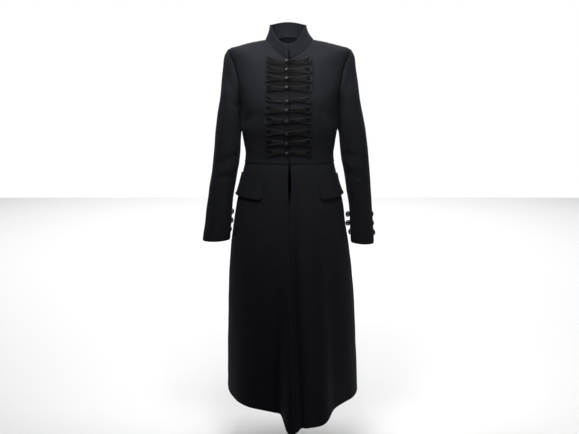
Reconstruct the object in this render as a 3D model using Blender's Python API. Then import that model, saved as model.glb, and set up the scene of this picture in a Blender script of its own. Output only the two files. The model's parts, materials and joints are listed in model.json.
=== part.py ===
"""Long coat with a stand collar, braided frogs and pocket flaps, worn and open below the waist.

Metres, +Z up. The origin is the middle of the neck's base, level with the inner ends of the shoulder seams,
where the wearer holds the coat up. The front faces -Y, and +X is the wearer's left.
Every panel of the body lies on one surface, body_point, and every sleeve panel on another, sleeve_point.
"""
import math
from bisect import bisect_right
from collections import namedtuple

import bmesh
import bpy
import numpy as np
from mathutils import Vector
from mathutils.bvhtree import BVHTree

RIGHT = -1
LEFT = 1
SIDE_NAMES = {RIGHT: "right", LEFT: "left"}
QUARTER = math.pi / 2

# Cloth thicknesses and the gap between two pieces at a seam
BODY_CLOTH = 0.0030
SLEEVE_CLOTH = 0.0025
COLLAR_CLOTH = 0.0035
FLAP_CLOTH = 0.0030
SEAM = 0.0003

# Stations along the side of the coat: heights up to the shoulder tip, then on along the shoulder seam
HEM = -1.190
WAIST = -0.395
UNDERARM = -0.225
TIP = -0.030
NECK = 0.090

# Rings round the body. front and back are depths from the side plane, and shift moves a ring toward the
# wearer's left
Ring = namedtuple("Ring", "station z_side z_front z_back half_width front back squareness shift")
BODY_RINGS = [
    Ring(HEM, -1.180, -1.188, -1.188, 0.2275, 0.226, 0.232, 2.05, 0.010),
    Ring(-1.035, -1.035, -1.035, -1.035, 0.2230, 0.208, 0.217, 2.05, 0.008),
    Ring(-0.861, -0.861, -0.861, -0.861, 0.2165, 0.184, 0.196, 2.05, 0.006),
    Ring(-0.712, -0.712, -0.712, -0.712, 0.2050, 0.158, 0.170, 2.10, 0.002),
    Ring(-0.586, -0.586, -0.586, -0.586, 0.1875, 0.132, 0.140, 2.15, 0.000),
    Ring(-0.524, -0.524, -0.524, -0.524, 0.1770, 0.121, 0.124, 2.15, 0.001),
    Ring(-0.470, -0.470, -0.470, -0.470, 0.1650, 0.113, 0.106, 2.15, 0.000),
    Ring(-0.430, -0.430, -0.430, -0.430, 0.1570, 0.108, 0.093, 2.20, 0.000),
    Ring(WAIST, -0.395, -0.395, -0.395, 0.1495, 0.104, 0.084, 2.20, 0.000),
    Ring(-0.362, -0.362, -0.362, -0.362, 0.1470, 0.105, 0.082, 2.25, 0.000),
    Ring(-0.325, -0.325, -0.325, -0.325, 0.1525, 0.112, 0.086, 2.30, 0.000),
    Ring(-0.285, -0.285, -0.285, -0.285, 0.1580, 0.122, 0.094, 2.40, 0.000),
    Ring(UNDERARM, -0.225, -0.228, -0.225, 0.1585, 0.131, 0.108, 2.50, 0.000),
    Ring(-0.175, -0.175, -0.195, -0.180, 0.1680, 0.129, 0.116, 2.60, 0.000),
    Ring(-0.125, -0.125, -0.163, -0.137, 0.1780, 0.122, 0.118, 2.60, 0.000),
    Ring(-0.075, -0.074, -0.132, -0.094, 0.1900, 0.111, 0.111, 2.55, 0.000),
    Ring(TIP, -0.027, -0.106, -0.054, 0.1975, 0.099, 0.098, 2.50, 0.000),
    Ring(0.005, -0.0150, -0.088, -0.027, 0.1640, 0.089, 0.083, 2.40, 0.000),
    Ring(0.045, -0.0045, -0.072, -0.003, 0.1230, 0.079, 0.069, 2.20, 0.000),
    Ring(NECK, 0.0040, -0.058, 0.017, 0.0790, 0.069, 0.056, 2.00, 0.000),
]

# Where the two fronts end, by height: each edge's place across, in the ring's own middle
Edge = namedtuple("Edge", "z right left")
OPENING = [
    Edge(-1.190, 0.0060, -0.0085),
    Edge(-0.900, 0.0030, -0.0085),
    Edge(-0.620, -0.0010, -0.0080),
    Edge(-0.560, -0.0020, -0.0060),
    Edge(-0.516, -0.0024, 0.0004),
    Edge(-0.490, -0.0040, 0.0040),
    Edge(-0.450, -0.0060, 0.0060),
    Edge(-0.415, -0.0030, 0.0030),
    Edge(WAIST, -0.0012, 0.0012),
    Edge(-0.360, -0.0004, 0.0004),
    Edge(-0.262, -0.0004, 0.0004),
    Edge(-0.240, -0.0006, 0.0018),
    Edge(-0.225, -0.0004, 0.0010),
    Edge(-0.206, -0.0006, 0.0020),
    Edge(-0.180, -0.0004, 0.0004),
    Edge(-0.082, -0.0004, 0.0004),
    Edge(-0.073, -0.0014, 0.0016),
    Edge(-0.066, -0.0036, 0.0040),
    Edge(-0.058, -0.0042, 0.0046),
    Edge(-0.046, -0.0030, 0.0034),
    Edge(-0.034, -0.0018, 0.0020),
    Edge(-0.022, -0.0004, 0.0004),
    Edge(-0.013, -0.0008, 0.0008),
]

# The skirt's folds, as wide flat-topped waves that grow to the hem. place and half_spread are in degrees
# round from the centre front, swell stands out and dip hangs down at the hem
Fold = namedtuple("Fold", "side place half_spread swell dip top power")
FOLDS = [
    Fold(RIGHT, 0.0, 6.2, 0.078, 0.036, -0.62, 1.9),
    Fold(LEFT, 0.0, 6.0, 0.078, 0.036, -0.62, 1.9),
    Fold(LEFT, 12.0, 16.0, 0.056, 0.026, -0.62, 1.9),
    Fold(RIGHT, 44.0, 13.0, 0.007, 0.000, -0.60, 1.3),
    Fold(LEFT, 66.0, 12.0, 0.006, 0.000, -0.60, 1.3),
    Fold(RIGHT, 121.0, 11.0, 0.014, 0.004, -0.50, 1.3),
    Fold(LEFT, 115.0, 13.0, 0.011, 0.003, -0.50, 1.3),
    Fold(RIGHT, 156.0, 10.0, 0.015, 0.005, -0.46, 1.3),
    Fold(LEFT, 150.0, 12.0, 0.017, 0.005, -0.46, 1.3),
]

# Folds that meet blend into the larger one, the more sharply the higher this is
FOLD_BLEND = 6

# The left front is tucked under the right one below the open part, and further back toward the hem
TUCK_DEPTH = 0.0052
TUCK_FROM = -0.440
TUCK_TO = -0.508
TUCK_DEEPER = 0.0050
TUCK_DEEP_FROM = -0.540
TUCK_DEEP_TO = -0.780
TUCK_FLAT = 0.011
TUCK_END = 0.037

# How far the armhole reaches forward and back of the side, and its steps
ARMHOLE_FRONT = math.radians(20.0)
ARMHOLE_BACK = math.radians(18.5)
ARMHOLE_STEPS = 10

# Rings of the sleeves. outer and inner are distances from the middle on each side, middle_y is the arm's
# centre
ARM_COLUMNS = "down outer_z inner_z right_outer right_inner left_outer left_inner middle_y half_depth"
Arm = namedtuple("Arm", ARM_COLUMNS)
ARM_RINGS = [
    Arm(0.000, -0.027, -0.225, 0.1975, 0.1585, 0.1975, 0.1585, -0.004, 0.062),
    Arm(0.025, -0.045, -0.233, 0.2080, 0.1608, 0.2080, 0.1608, -0.004, 0.064),
    Arm(0.063, -0.084, -0.243, 0.2145, 0.1614, 0.2145, 0.1616, -0.003, 0.066),
    Arm(0.107, -0.127, -0.255, 0.2205, 0.1618, 0.2212, 0.1622, -0.003, 0.067),
    Arm(0.162, -0.184, -0.272, 0.2270, 0.1622, 0.2300, 0.1635, -0.002, 0.067),
    Arm(0.220, -0.242, -0.297, 0.2375, 0.1630, 0.2415, 0.1665, 0.000, 0.066),
    Arm(0.280, -0.302, -0.333, 0.2450, 0.1655, 0.2530, 0.1705, 0.002, 0.064),
    Arm(0.340, -0.362, -0.378, 0.2510, 0.1690, 0.2615, 0.1760, 0.004, 0.062),
    Arm(0.403, -0.425, -0.432, 0.2590, 0.1780, 0.2670, 0.1870, 0.004, 0.059),
    Arm(0.461, -0.483, -0.486, 0.2685, 0.1885, 0.2715, 0.1945, 0.000, 0.056),
    Arm(0.523, -0.545, -0.546, 0.2770, 0.1955, 0.2760, 0.2040, -0.008, 0.052),
    Arm(0.578, -0.600, -0.600, 0.2840, 0.1990, 0.2800, 0.2065, -0.018, 0.048),
    Arm(0.641, -0.664, -0.661, 0.2925, 0.2040, 0.2830, 0.2085, -0.030, 0.045),
]
CUFF = 0.641
# How much shorter each sleeve hangs than that
CUFF_RAISED = {RIGHT: 0.0085, LEFT: 0.0}
SLEEVE_HEAD = 0.120
FRONT_SLEEVE_SEAM = math.radians(108)
BACK_SLEEVE_SEAM = math.radians(288)
SLEEVE_STEPS = 10
SLEEVE_STATIONS = [
    0, 0.012, 0.030, 0.055, 0.090, 0.130, 0.175, 0.220,
    0.270, 0.325, 0.380, 0.435, 0.490, 0.545, 0.595,
]
# A short step down the sleeve, for its direction at the seam
SLEEVE_NUDGE = 0.002

# Stations of the panels' rows
SKIRT_STATIONS = [
    WAIST, -0.420, -0.448, -0.482, -0.520, -0.570, -0.630, -0.700,
    -0.780, -0.860, -0.940, -1.020, -1.095, -1.150, HEM,
]
BODICE_STATIONS = [WAIST, -0.362, -0.328, -0.294, -0.260]
YOKE_STATIONS = [-0.004, 0.026, 0.058, NECK]
SKIRT_FRONT_COLUMNS = 19
SKIRT_BACK_COLUMNS = 11
BODICE_COLUMNS = 8
FRONT_CROWDING = 1.7

# The collar's top edge
COLLAR_TOP = Ring(1, 0.052, -0.013, 0.066, 0.0600, 0.071, 0.060, 2.0, -0.005)
COLLAR_CURVE = 1.8
COLLAR_ROWS = 4

# Pocket flaps: the corners' places across and heights on the skirt, and how far they stand off
Flap = namedtuple("Flap", "side front_x front_top back_top front_low back_low back_angle")
FLAPS = [
    Flap(RIGHT, 0.0880, -0.4480, -0.4300, -0.5110, -0.5030, math.radians(94)),
    Flap(LEFT, 0.0930, -0.4480, -0.4320, -0.5110, -0.5000, math.radians(94)),
]
FLAP_CORNER = 0.013
FLAP_SLANT = 0.007
FLAP_TOP_GAP = 0.0007
FLAP_LOW_GAP = 0.0022
FLAP_BACK_GAP = 0.0035
FLAP_COLUMNS = 9
# Rows of a flap from its top edge: shares of its straight part, then of its rounded corners
FLAP_STRAIGHT_ROWS = [1.0, 0.5, 0.0]
FLAP_CORNER_ROWS = [0.5, 0.13, 0.0]
# The skirt's radius at the flaps, and how steeply a flap's lower edge and back corner lift
FLAP_RADIUS = 0.14
FLAP_LIFT_POWER = 1.5
FLAP_BACK_POWER = 3
HALVINGS = 30

# The frogs' rows: height, how far each outer end curls up, and how the runs sag between
FrogRow = namedtuple("FrogRow", "z right_lift left_lift right_sag left_sag")
FROG_ROWS = [
    FrogRow(-0.0700, 0.0070, 0.0060, 0.0020, 0.0000),
    FrogRow(-0.0977, 0.0060, 0.0025, 0.0010, 0.0000),
    FrogRow(-0.1247, 0.0020, 0.0005, -0.0010, -0.0005),
    FrogRow(-0.1530, 0.0000, -0.0010, 0.0020, 0.0015),
    FrogRow(-0.1955, 0.0120, 0.0030, 0.0000, -0.0040),
    FrogRow(-0.2225, 0.0040, 0.0010, 0.0010, -0.0010),
    FrogRow(-0.2555, 0.0020, 0.0010, 0.0000, -0.0015),
    FrogRow(-0.2950, 0.0030, 0.0010, -0.0050, -0.0040),
    FrogRow(-0.3260, 0.0010, 0.0015, -0.0020, -0.0030),
    FrogRow(-0.3585, 0.0010, -0.0010, -0.0030, -0.0010),
]

# Where a search for the front cloth starts, and where it looks near the open gap between the fronts
SEARCH_FROM_Y = -1.0
FRONT_EDGE_Y = -0.11
# The outer end's curl comes in with this power of the distance out
CURL_POWER = 3

# A frog half's cord: the upper run from the centre out, mirrored for the lower run. out is from the centre
# front
Cord = namedtuple("Cord", "out up half_width")
LOOP_RUN = [
    Cord(-0.0139, 0.0000, 0.0017),
    Cord(-0.0118, 0.0034, 0.0017),
    Cord(-0.0060, 0.0042, 0.0018),
    Cord(0.0050, 0.0040, 0.0024),
    Cord(0.0195, 0.0042, 0.0030),
    Cord(0.0350, 0.0050, 0.0032),
    Cord(0.0470, 0.0062, 0.0032),
    Cord(0.0545, 0.0086, 0.0028),
    Cord(0.0612, 0.0098, 0.0028),
    Cord(0.0665, 0.0070, 0.0028),
    Cord(0.0684, 0.0000, 0.0028),
]
BUTTON_RUN = [
    Cord(0.0190, 0.0000, 0.0024),
    Cord(0.0220, 0.0040, 0.0028),
    Cord(0.0390, 0.0050, 0.0032),
    Cord(0.0530, 0.0062, 0.0032),
    Cord(0.0608, 0.0086, 0.0028),
    Cord(0.0677, 0.0098, 0.0028),
    Cord(0.0732, 0.0070, 0.0028),
    Cord(0.0752, 0.0000, 0.0028),
]
# A cuff frog's cord: out is the distance round the cuff from its middle, behind the arm
CUFF_RUN = [
    Cord(-0.0730, 0.0000, 0.0024),
    Cord(-0.0690, 0.0064, 0.0024),
    Cord(-0.0610, 0.0070, 0.0025),
    Cord(-0.0500, 0.0047, 0.0026),
    Cord(-0.0340, 0.0042, 0.0026),
    Cord(-0.0170, 0.0042, 0.0026),
    Cord(0.0000, 0.0048, 0.0024),
    Cord(0.0170, 0.0042, 0.0026),
    Cord(0.0340, 0.0042, 0.0026),
    Cord(0.0500, 0.0047, 0.0026),
    Cord(0.0610, 0.0070, 0.0025),
    Cord(0.0690, 0.0064, 0.0024),
    Cord(0.0730, 0.0000, 0.0024),
]
CORD_HALF_HEIGHT = 0.0017
CORD_SIDES = 5
CORD_CLEARANCE = 0.0006
CUFF_CLEARANCE = 0.0010
CUFF_RADIUS = 0.045
# Each cuff's frogs from the cuff up: the height over its hem, and how far the two ends reach past the sleeve.
# The ends aren't sewn down: CUFF_LEAVE on either side of the middle they leave the cloth and go straight on
CuffFrog = namedtuple("CuffFrog", "rise inner_reach outer_reach")
CUFF_FROGS = {
    RIGHT: [
        CuffFrog(0.029, 0.0010, 0.0020),
        CuffFrog(0.060, 0.0040, -0.0020),
        CuffFrog(0.090, 0.0045, -0.0020),
    ],
    LEFT: [
        CuffFrog(0.029, 0.0040, 0.0075),
        CuffFrog(0.060, 0.0125, 0.0050),
        CuffFrog(0.090, 0.0115, 0.0055),
    ],
}
CUFF_LEAVE = math.radians(35)
CUFF_LEAVE_OUT = CUFF_LEAVE * CUFF_RADIUS

# Buttons as turned outlines: distance from the axis and height above the cloth, from the shank's foot up
BUTTON_PLACE = 0.0096
BUTTON_OUTLINE = [(0.0019, 0.0004), (0.0019, 0.0046), (0.0058, 0.0052), (0.0054, 0.0080)]
BUTTON_TOP = 0.0098
CUFF_BUTTON_OUTLINE = [(0.0015, 0.0004), (0.0015, 0.0048), (0.0050, 0.0052), (0.0045, 0.0074)]
CUFF_BUTTON_TOP = 0.0088
BUTTON_SIDES = 8

WOOL_COLOUR = (0.010, 0.010, 0.013, 1)
BRAID_COLOUR = (0.014, 0.014, 0.018, 1)
BUTTON_COLOUR = (0.020, 0.020, 0.024, 1)
WOOL_ROUGHNESS = 0.9
BRAID_ROUGHNESS = 0.5
BUTTON_ROUGHNESS = 0.35
SHARP_ANGLE = math.radians(40)
# The step in angle and length over which a surface's slope is measured
SLOPE_STEP = 1e-4


def make_material(name, colour, roughness):
    """A plain non-metal finish."""
    material = bpy.data.materials.new(name)
    material.use_nodes = True
    shader = material.node_tree.nodes["Principled BSDF"]
    shader.inputs["Base Color"].default_value = colour
    shader.inputs["Roughness"].default_value = roughness
    shader.inputs["Metallic"].default_value = 0
    return material


def curves_of(table):
    """Each named column of a table as stations, values and slopes, for smooth reading between its rows."""
    stations = np.array([row[0] for row in table])
    curves = {}
    for name in table[0]._fields[1:]:
        values = np.array([getattr(row, name) for row in table])
        curves[name] = (stations, values, np.gradient(values, stations))
    return curves


def read_curve(curve, station):
    """The value of a curve at a station, on a cubic through the table's rows."""
    stations, values, slopes = curve
    i = min(max(bisect_right(stations, station) - 1, 0), len(stations) - 2)
    span = stations[i + 1] - stations[i]
    t = (station - stations[i]) / span
    rise = values[i + 1] - values[i]
    first = slopes[i] * span - rise
    last = rise - slopes[i + 1] * span
    return float(values[i] + t * rise + t * (1 - t) * ((1 - t) * first + t * last))


def smooth_step(low, high, value):
    """0 at low, 1 at high, with level ends. low may be above high."""
    t = min(max((value - low) / (high - low), 0), 1)
    return t * t * (3 - 2 * t)


BODY_CURVES = curves_of(BODY_RINGS)
ARM_CURVES = curves_of(ARM_RINGS)


def ring_at(station):
    """The body's ring at a station."""
    return Ring(station, *(read_curve(BODY_CURVES[name], station) for name in Ring._fields[1:]))


def point_on_ring(ring, side, angle):
    """A ring's point and the way out from its middle. angle is 0 at the front, 90 degrees at the side."""
    across = math.sin(angle)
    along = math.cos(angle)
    depth = ring.front if along > 0 else ring.back
    z_middle = ring.z_front if along > 0 else ring.z_back
    n = ring.squareness
    reach = ((abs(across) / ring.half_width) ** n + (abs(along) / depth) ** n) ** (-1 / n)
    out = Vector((side * across, -along, 0))
    z = z_middle + (ring.z_side - z_middle) * across ** 2
    return Vector((ring.shift, 0, z)) + out * reach, out


def fold_at(side, angle, station):
    """How far the skirt's folds stand out and hang down at a place."""
    swell = dip = 0
    for fold in FOLDS:
        if fold.side == side and station < fold.top:
            grown = ((fold.top - station) / (fold.top - HEM)) ** fold.power
            away = (math.degrees(angle) - fold.place) / fold.half_spread
            wave = grown / (1 + away ** 4)
            swell += (fold.swell * wave) ** FOLD_BLEND
            dip += (fold.dip * wave) ** FOLD_BLEND
    return swell ** (1 / FOLD_BLEND), dip ** (1 / FOLD_BLEND)


def body_point(side, angle, station):
    """A point of the coat's outer face."""
    point, out = point_on_ring(ring_at(station), side, angle)
    swell, dip = fold_at(side, angle, station)
    tuck = 0
    if side == LEFT and station < TUCK_FROM and abs(angle) < QUARTER:
        across = abs(point.x - ring_at(station).shift)
        tuck = TUCK_DEPTH * smooth_step(TUCK_FROM, TUCK_TO, station)
        tuck += TUCK_DEEPER * smooth_step(TUCK_DEEP_FROM, TUCK_DEEP_TO, station)
        tuck *= smooth_step(TUCK_END, TUCK_FLAT, across)
    return point + out * (swell - tuck) - Vector((0, 0, dip))


def normal_of(surface, side, first, second):
    """The outward normal of a surface of two numbers, from small steps in both."""
    step = SLOPE_STEP
    along_first = surface(side, first + step, second) - surface(side, first - step, second)
    along_second = surface(side, first, second + step) - surface(side, first, second - step)
    return along_first.cross(along_second).normalized() * side


def angle_across(station, distance):
    """The angle of the front's point that lies this far from the middle, across."""
    ring = ring_at(station)
    return math.asin(distance / ring.front)


def edge_place(side, z):
    """How far across a front's edge lies at a height."""
    heights = [edge.z for edge in OPENING]
    places = [edge.right if side == RIGHT else edge.left for edge in OPENING]
    return float(np.interp(z, heights, places))


def edge_angle(side, station):
    """The angle at which a front ends, negative where it laps over the middle."""
    return angle_across(station, side * edge_place(side, ring_at(station).z_front))


def armhole_angle(turn):
    """The body's angle on the armhole. turn is 0 at the shoulder tip and 90 degrees at the front."""
    reach = ARMHOLE_FRONT if math.sin(turn) > 0 else -ARMHOLE_BACK
    return QUARTER - reach * abs(math.sin(turn))


def armhole_station(turn):
    """The body's station on the armhole."""
    return UNDERARM + (TIP - UNDERARM) * (1 + math.cos(turn)) / 2


def side_angle(station, front):
    """Where a bodice panel ends at the side: the side seam, the armhole, then the shoulder seam."""
    toward = -1 if front else 1
    ring = ring_at(station)
    gap = toward * SEAM / 2 / ring.half_width
    height = min(max(2 * (station - UNDERARM) / (TIP - UNDERARM) - 1, -1), 1)
    bite = math.sqrt(1 - height ** 2) * (ARMHOLE_FRONT if front else ARMHOLE_BACK)
    return QUARTER + toward * bite + gap


def sleeve_point(side, turn, down):
    """A point of a sleeve's outer face. turn goes round as on the armhole, down runs on to the cuff."""
    point = sleeve_ring_point(side, turn, down)
    if down < SLEEVE_HEAD:
        moved = armhole_point(side, turn) - sleeve_ring_point(side, turn, 0)
        point += moved * smooth_step(SLEEVE_HEAD, 0, down)
    return point


def cuff_of(side):
    """How far down a sleeve ends."""
    return CUFF - CUFF_RAISED[side]


def sleeve_ring_point(side, turn, down):
    """A point of the plain ellipse that goes round the arm."""
    name = SIDE_NAMES[side]
    outer = Vector((side * arm_at(name + "_outer", down), 0, arm_at("outer_z", down)))
    inner = Vector((side * arm_at(name + "_inner", down), 0, arm_at("inner_z", down)))
    middle = (outer + inner) / 2 + Vector((0, arm_at("middle_y", down), 0))
    forward = Vector((0, -arm_at("half_depth", down), 0))
    return middle + (outer - inner) / 2 * math.cos(turn) + forward * math.sin(turn)


def arm_at(column, down):
    """One column of the sleeves' table, read at a distance down."""
    return read_curve(ARM_CURVES[column], down)


def armhole_point(side, turn):
    """A point of the armhole seam on the body."""
    return body_point(side, armhole_angle(turn), armhole_station(turn))


def make_object(name, mesh, material):
    """An object in the scene with its material and round shading."""
    mesh.materials.append(material)
    mesh.shade_smooth()
    mesh.set_sharp_from_angle(angle=SHARP_ANGLE)
    item = bpy.data.objects.new(name, mesh)
    bpy.context.scene.collection.objects.link(item)
    return item


def make_wall(name, outer, normals, thickness, material):
    """A closed wall of cloth from rows of outer points, moved in along their normals for the inner face."""
    rows = len(outer)
    columns = len(outer[0])
    points = [p for row in outer for p in row]
    points += [p - n * thickness for row, lean in zip(outer, normals) for p, n in zip(row, lean)]
    inner_start = rows * columns
    faces = []
    for i in range(rows - 1):
        for j in range(columns - 1):
            a = i * columns + j
            for triangle in ((a, a + 1, a + columns + 1), (a, a + columns + 1, a + columns)):
                faces.append(triangle)
                faces.append(tuple(inner_start + k for k in reversed(triangle)))
    rim = [j for j in range(columns)]
    rim += [i * columns + columns - 1 for i in range(1, rows)]
    rim += [(rows - 1) * columns + j for j in range(columns - 2, -1, -1)]
    rim += [i * columns for i in range(rows - 2, 0, -1)]
    for a, b in zip(rim, rim[1:] + rim[:1]):
        low, high = sorted((a, b))
        faces.append((low, high, inner_start + high))
        faces.append((low, inner_start + high, inner_start + low))
    mesh = bpy.data.meshes.new(name)
    mesh.from_pydata(points, [], faces)
    turn_outward(mesh)
    return make_object(name, mesh, material)


def turn_outward(mesh):
    """Points all faces of a closed mesh outward."""
    working = bmesh.new()
    working.from_mesh(mesh)
    bmesh.ops.recalc_face_normals(working, faces=working.faces)
    working.to_mesh(mesh)
    working.free()


def body_panel(name, side, stations, first_angle, last_angle, columns, crowding, material):
    """A panel of the body between two angles at each station."""
    outer = []
    normals = []
    for station in stations:
        start = first_angle(station)
        end = last_angle(station)
        angles = [start + (end - start) * (i / columns) ** crowding for i in range(columns + 1)]
        outer.append([body_point(side, angle, station) for angle in angles])
        normals.append([normal_of(body_point, side, angle, station) for angle in angles])
    return make_wall(name, outer, normals, BODY_CLOTH, material)


def back_edge_angle(station):
    """Where a back half ends at the centre-back seam."""
    return math.pi - SEAM / 2 / ring_at(station).back


def make_skirt(side, material):
    """The two skirt panels of one side, hung from the waist seam."""
    stations = [WAIST - SEAM / 2] + SKIRT_STATIONS[1:]
    name = SIDE_NAMES[side]
    front = body_panel(f"skirt_front_{name}", side, stations, lambda s: edge_angle(side, s),
                       lambda s: side_angle(s, True), SKIRT_FRONT_COLUMNS, FRONT_CROWDING, material)
    back = body_panel(f"skirt_back_{name}", side, stations, lambda s: side_angle(s, False),
                      back_edge_angle, SKIRT_BACK_COLUMNS, 1, material)
    return front, back


def make_bodice(side, material):
    """The front and back of the bodice on one side, from the waist seam to the neckline."""
    turns = [math.pi * (1 - i / ARMHOLE_STEPS) for i in range(ARMHOLE_STEPS + 1)]
    stations = [WAIST + SEAM / 2] + BODICE_STATIONS[1:] + [armhole_station(turn) for turn in turns]
    stations += YOKE_STATIONS[:-1] + [NECK - SEAM / 2]
    name = SIDE_NAMES[side]
    front = body_panel(f"bodice_front_{name}", side, stations, lambda s: edge_angle(side, s),
                       lambda s: side_angle(s, True), BODICE_COLUMNS, 1, material)
    back = body_panel(f"bodice_back_{name}", side, stations, lambda s: side_angle(s, False),
                      back_edge_angle, BODICE_COLUMNS, 1, material)
    return front, back


def make_sleeve_panel(name, side, first_turn, last_turn, material):
    """A sleeve panel between two turns, from the armhole seam to the cuff."""
    pull = SEAM / 2 / CUFF_RADIUS
    step = (last_turn - first_turn) / SLEEVE_STEPS
    turns = [first_turn + step * i for i in range(SLEEVE_STEPS + 1)]
    turns[0] += pull
    turns[-1] -= pull
    stations = SLEEVE_STATIONS + [cuff_of(side)]
    outer = [[sleeve_point(side, turn, down) for turn in turns] for down in stations]
    normals = [[normal_of(sleeve_point, side, turn, down) for turn in turns] for down in stations]
    outer[0] = [seam_start(side, turn, point) for turn, point in zip(turns, outer[0])]
    return make_wall(name, outer, normals, SLEEVE_CLOTH, material)


def seam_start(side, turn, point):
    """The sleeve's first point, moved clear of the body's edge, along the sleeve and out from the body."""
    along = (sleeve_point(side, turn, SLEEVE_NUDGE) - point).normalized()
    out = normal_of(body_point, side, armhole_angle(turn), armhole_station(turn))
    return point + (along + out) * SEAM


def make_sleeves(side, material):
    """The upper and the under sleeve of one arm."""
    name = SIDE_NAMES[side]
    full = 2 * math.pi
    make_sleeve_panel(f"sleeve_upper_{name}", side, BACK_SLEEVE_SEAM - full, FRONT_SLEEVE_SEAM, material)
    make_sleeve_panel(f"sleeve_under_{name}", side, FRONT_SLEEVE_SEAM, BACK_SLEEVE_SEAM, material)


def collar_point(side, angle, height):
    """A point of the collar's outer face, height 0 at the neckline and 1 at its top edge."""
    low, _ = point_on_ring(ring_at(NECK), side, angle)
    high, _ = point_on_ring(COLLAR_TOP, side, angle)
    lean = 1 - max(1 - height, 0) ** COLLAR_CURVE
    point = low.lerp(high, lean)
    point.z = low.z + (high.z - low.z) * height
    return point


def collar_angles(side, z_front):
    """One half of the collar's columns, which meet those of the bodice at the neckline."""
    start = math.asin(abs(edge_place(side, z_front)) / COLLAR_TOP.front)
    front = [start + (QUARTER - start) * i / BODICE_COLUMNS for i in range(BODICE_COLUMNS)]
    return front + [QUARTER + QUARTER * i / BODICE_COLUMNS for i in range(BODICE_COLUMNS + 1)]


def make_collar(material):
    """The stand collar, one strip from the right front edge round the back to the left one."""
    neck_front = ring_at(NECK).z_front
    outer = []
    normals = []
    for i in range(COLLAR_ROWS + 1):
        height = i / COLLAR_ROWS
        z_front = neck_front + height * (COLLAR_TOP.z_front - neck_front)
        places = [(RIGHT, angle) for angle in collar_angles(RIGHT, z_front)]
        places += [(LEFT, angle) for angle in reversed(collar_angles(LEFT, z_front)[:-1])]
        outer.append([collar_point(side, angle, height) for side, angle in places])
        normals.append([normal_of(collar_point, side, angle, height) for side, angle in places])
    outer[0] = [p + Vector((0, 0, SEAM)) for p in outer[0]]
    normals[0] = [Vector((n.x, n.y, 0)).normalized() for n in normals[0]]
    return make_wall("stand_collar", outer, normals, COLLAR_CLOTH, material)


def make_flap(flap, material):
    """A pocket flap on the skirt, rounded at its lower corners, its lower edge standing off."""
    rows = [(share, 1.0) for share in FLAP_STRAIGHT_ROWS] + [(0.0, corner) for corner in FLAP_CORNER_ROWS]
    outer = []
    normals = []
    for straight, corner in rows:
        places = [flap_place(flap, straight, corner, i / FLAP_COLUMNS) for i in range(FLAP_COLUMNS + 1)]
        outer.append([point for point, normal in places])
        normals.append([normal for point, normal in places])
    return make_wall(f"pocket_flap_{SIDE_NAMES[flap.side]}", outer, normals, FLAP_CLOTH, material)


def flap_place(flap, straight, corner, across):
    """A flap's outer point and normal, at shares up its straight part, up its corner and across it."""
    top = flap.front_top + (flap.back_top - flap.front_top) * across
    low = flap.front_low + (flap.back_low - flap.front_low) * across
    z = low + FLAP_CORNER * corner + (top - low - FLAP_CORNER) * straight
    inset = FLAP_CORNER * (1 - math.sqrt(1 - (1 - corner) ** 2))
    down = (top - z) / (top - low)
    slant = FLAP_SLANT * down if flap.side == LEFT else 0
    start = angle_on_skirt(z, flap.front_x + slant)
    span = flap.back_angle - start
    squeeze = inset / FLAP_RADIUS
    angle = start + squeeze + (span - 2 * squeeze) * across
    normal = normal_of(body_point, flap.side, angle, z)
    lift = FLAP_LOW_GAP + FLAP_BACK_GAP * across ** FLAP_BACK_POWER
    gap = FLAP_TOP_GAP + lift * down ** FLAP_LIFT_POWER
    return body_point(flap.side, angle, z) + normal * (gap + FLAP_CLOTH), normal


def angle_on_skirt(station, across):
    """The angle of the skirt's point that lies this far from the middle, found by halving."""
    low, high = 0, QUARTER
    ring = ring_at(station)
    for _ in range(HALVINGS):
        angle = (low + high) / 2
        point, _ = point_on_ring(ring, LEFT, angle)
        if point.x - ring.shift < across:
            low = angle
        else:
            high = angle
    return angle


def closed_run(run):
    """A closed route out along the upper run and back along the lower one."""
    return run + [Cord(c.out, -c.up, c.half_width) for c in reversed(run[1:-1])]


def make_cord_ring(name, centres, normals, half_widths, material):
    """A closed cord, flat against the cloth, through centres whose normals point out of the cloth."""
    count = len(centres)
    points = []
    for i in range(count):
        along = (centres[(i + 1) % count] - centres[i - 1]).normalized()
        out = (normals[i] - along * normals[i].dot(along)).normalized()
        across = along.cross(out)
        for k in range(CORD_SIDES):
            turn = 2 * math.pi * k / CORD_SIDES + QUARTER
            sideways = across * (half_widths[i] * math.cos(turn))
            points.append(centres[i] + sideways + out * (CORD_HALF_HEIGHT * math.sin(turn)))
    faces = []
    for i in range(count):
        for k in range(CORD_SIDES):
            j = (i + 1) % count
            m = (k + 1) % CORD_SIDES
            faces.append((i * CORD_SIDES + k, j * CORD_SIDES + k, j * CORD_SIDES + m, i * CORD_SIDES + m))
    mesh = bpy.data.meshes.new(name)
    mesh.from_pydata(points, [], faces)
    turn_outward(mesh)
    return make_object(name, mesh, material)


def cloth_under(tree, x, z):
    """The front cloth's point and normal behind a place seen from the front."""
    place, normal, _, _ = tree.ray_cast(Vector((x, SEARCH_FROM_Y, z)), Vector((0, 1, 0)))
    if place is None:
        near = tree.find_nearest(Vector((x, FRONT_EDGE_Y, z)))[0]
        return Vector((x, near.y, z)), Vector((0, -1, 0))
    return place, normal if normal.y < 0 else -normal


def tree_of(objects):
    """A search tree over the faces of several objects."""
    points = []
    faces = []
    for item in objects:
        start = len(points)
        points += [v.co.copy() for v in item.data.vertices]
        faces += [tuple(start + k for k in face.vertices) for face in item.data.polygons]
    return BVHTree.FromPolygons(points, faces)


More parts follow.
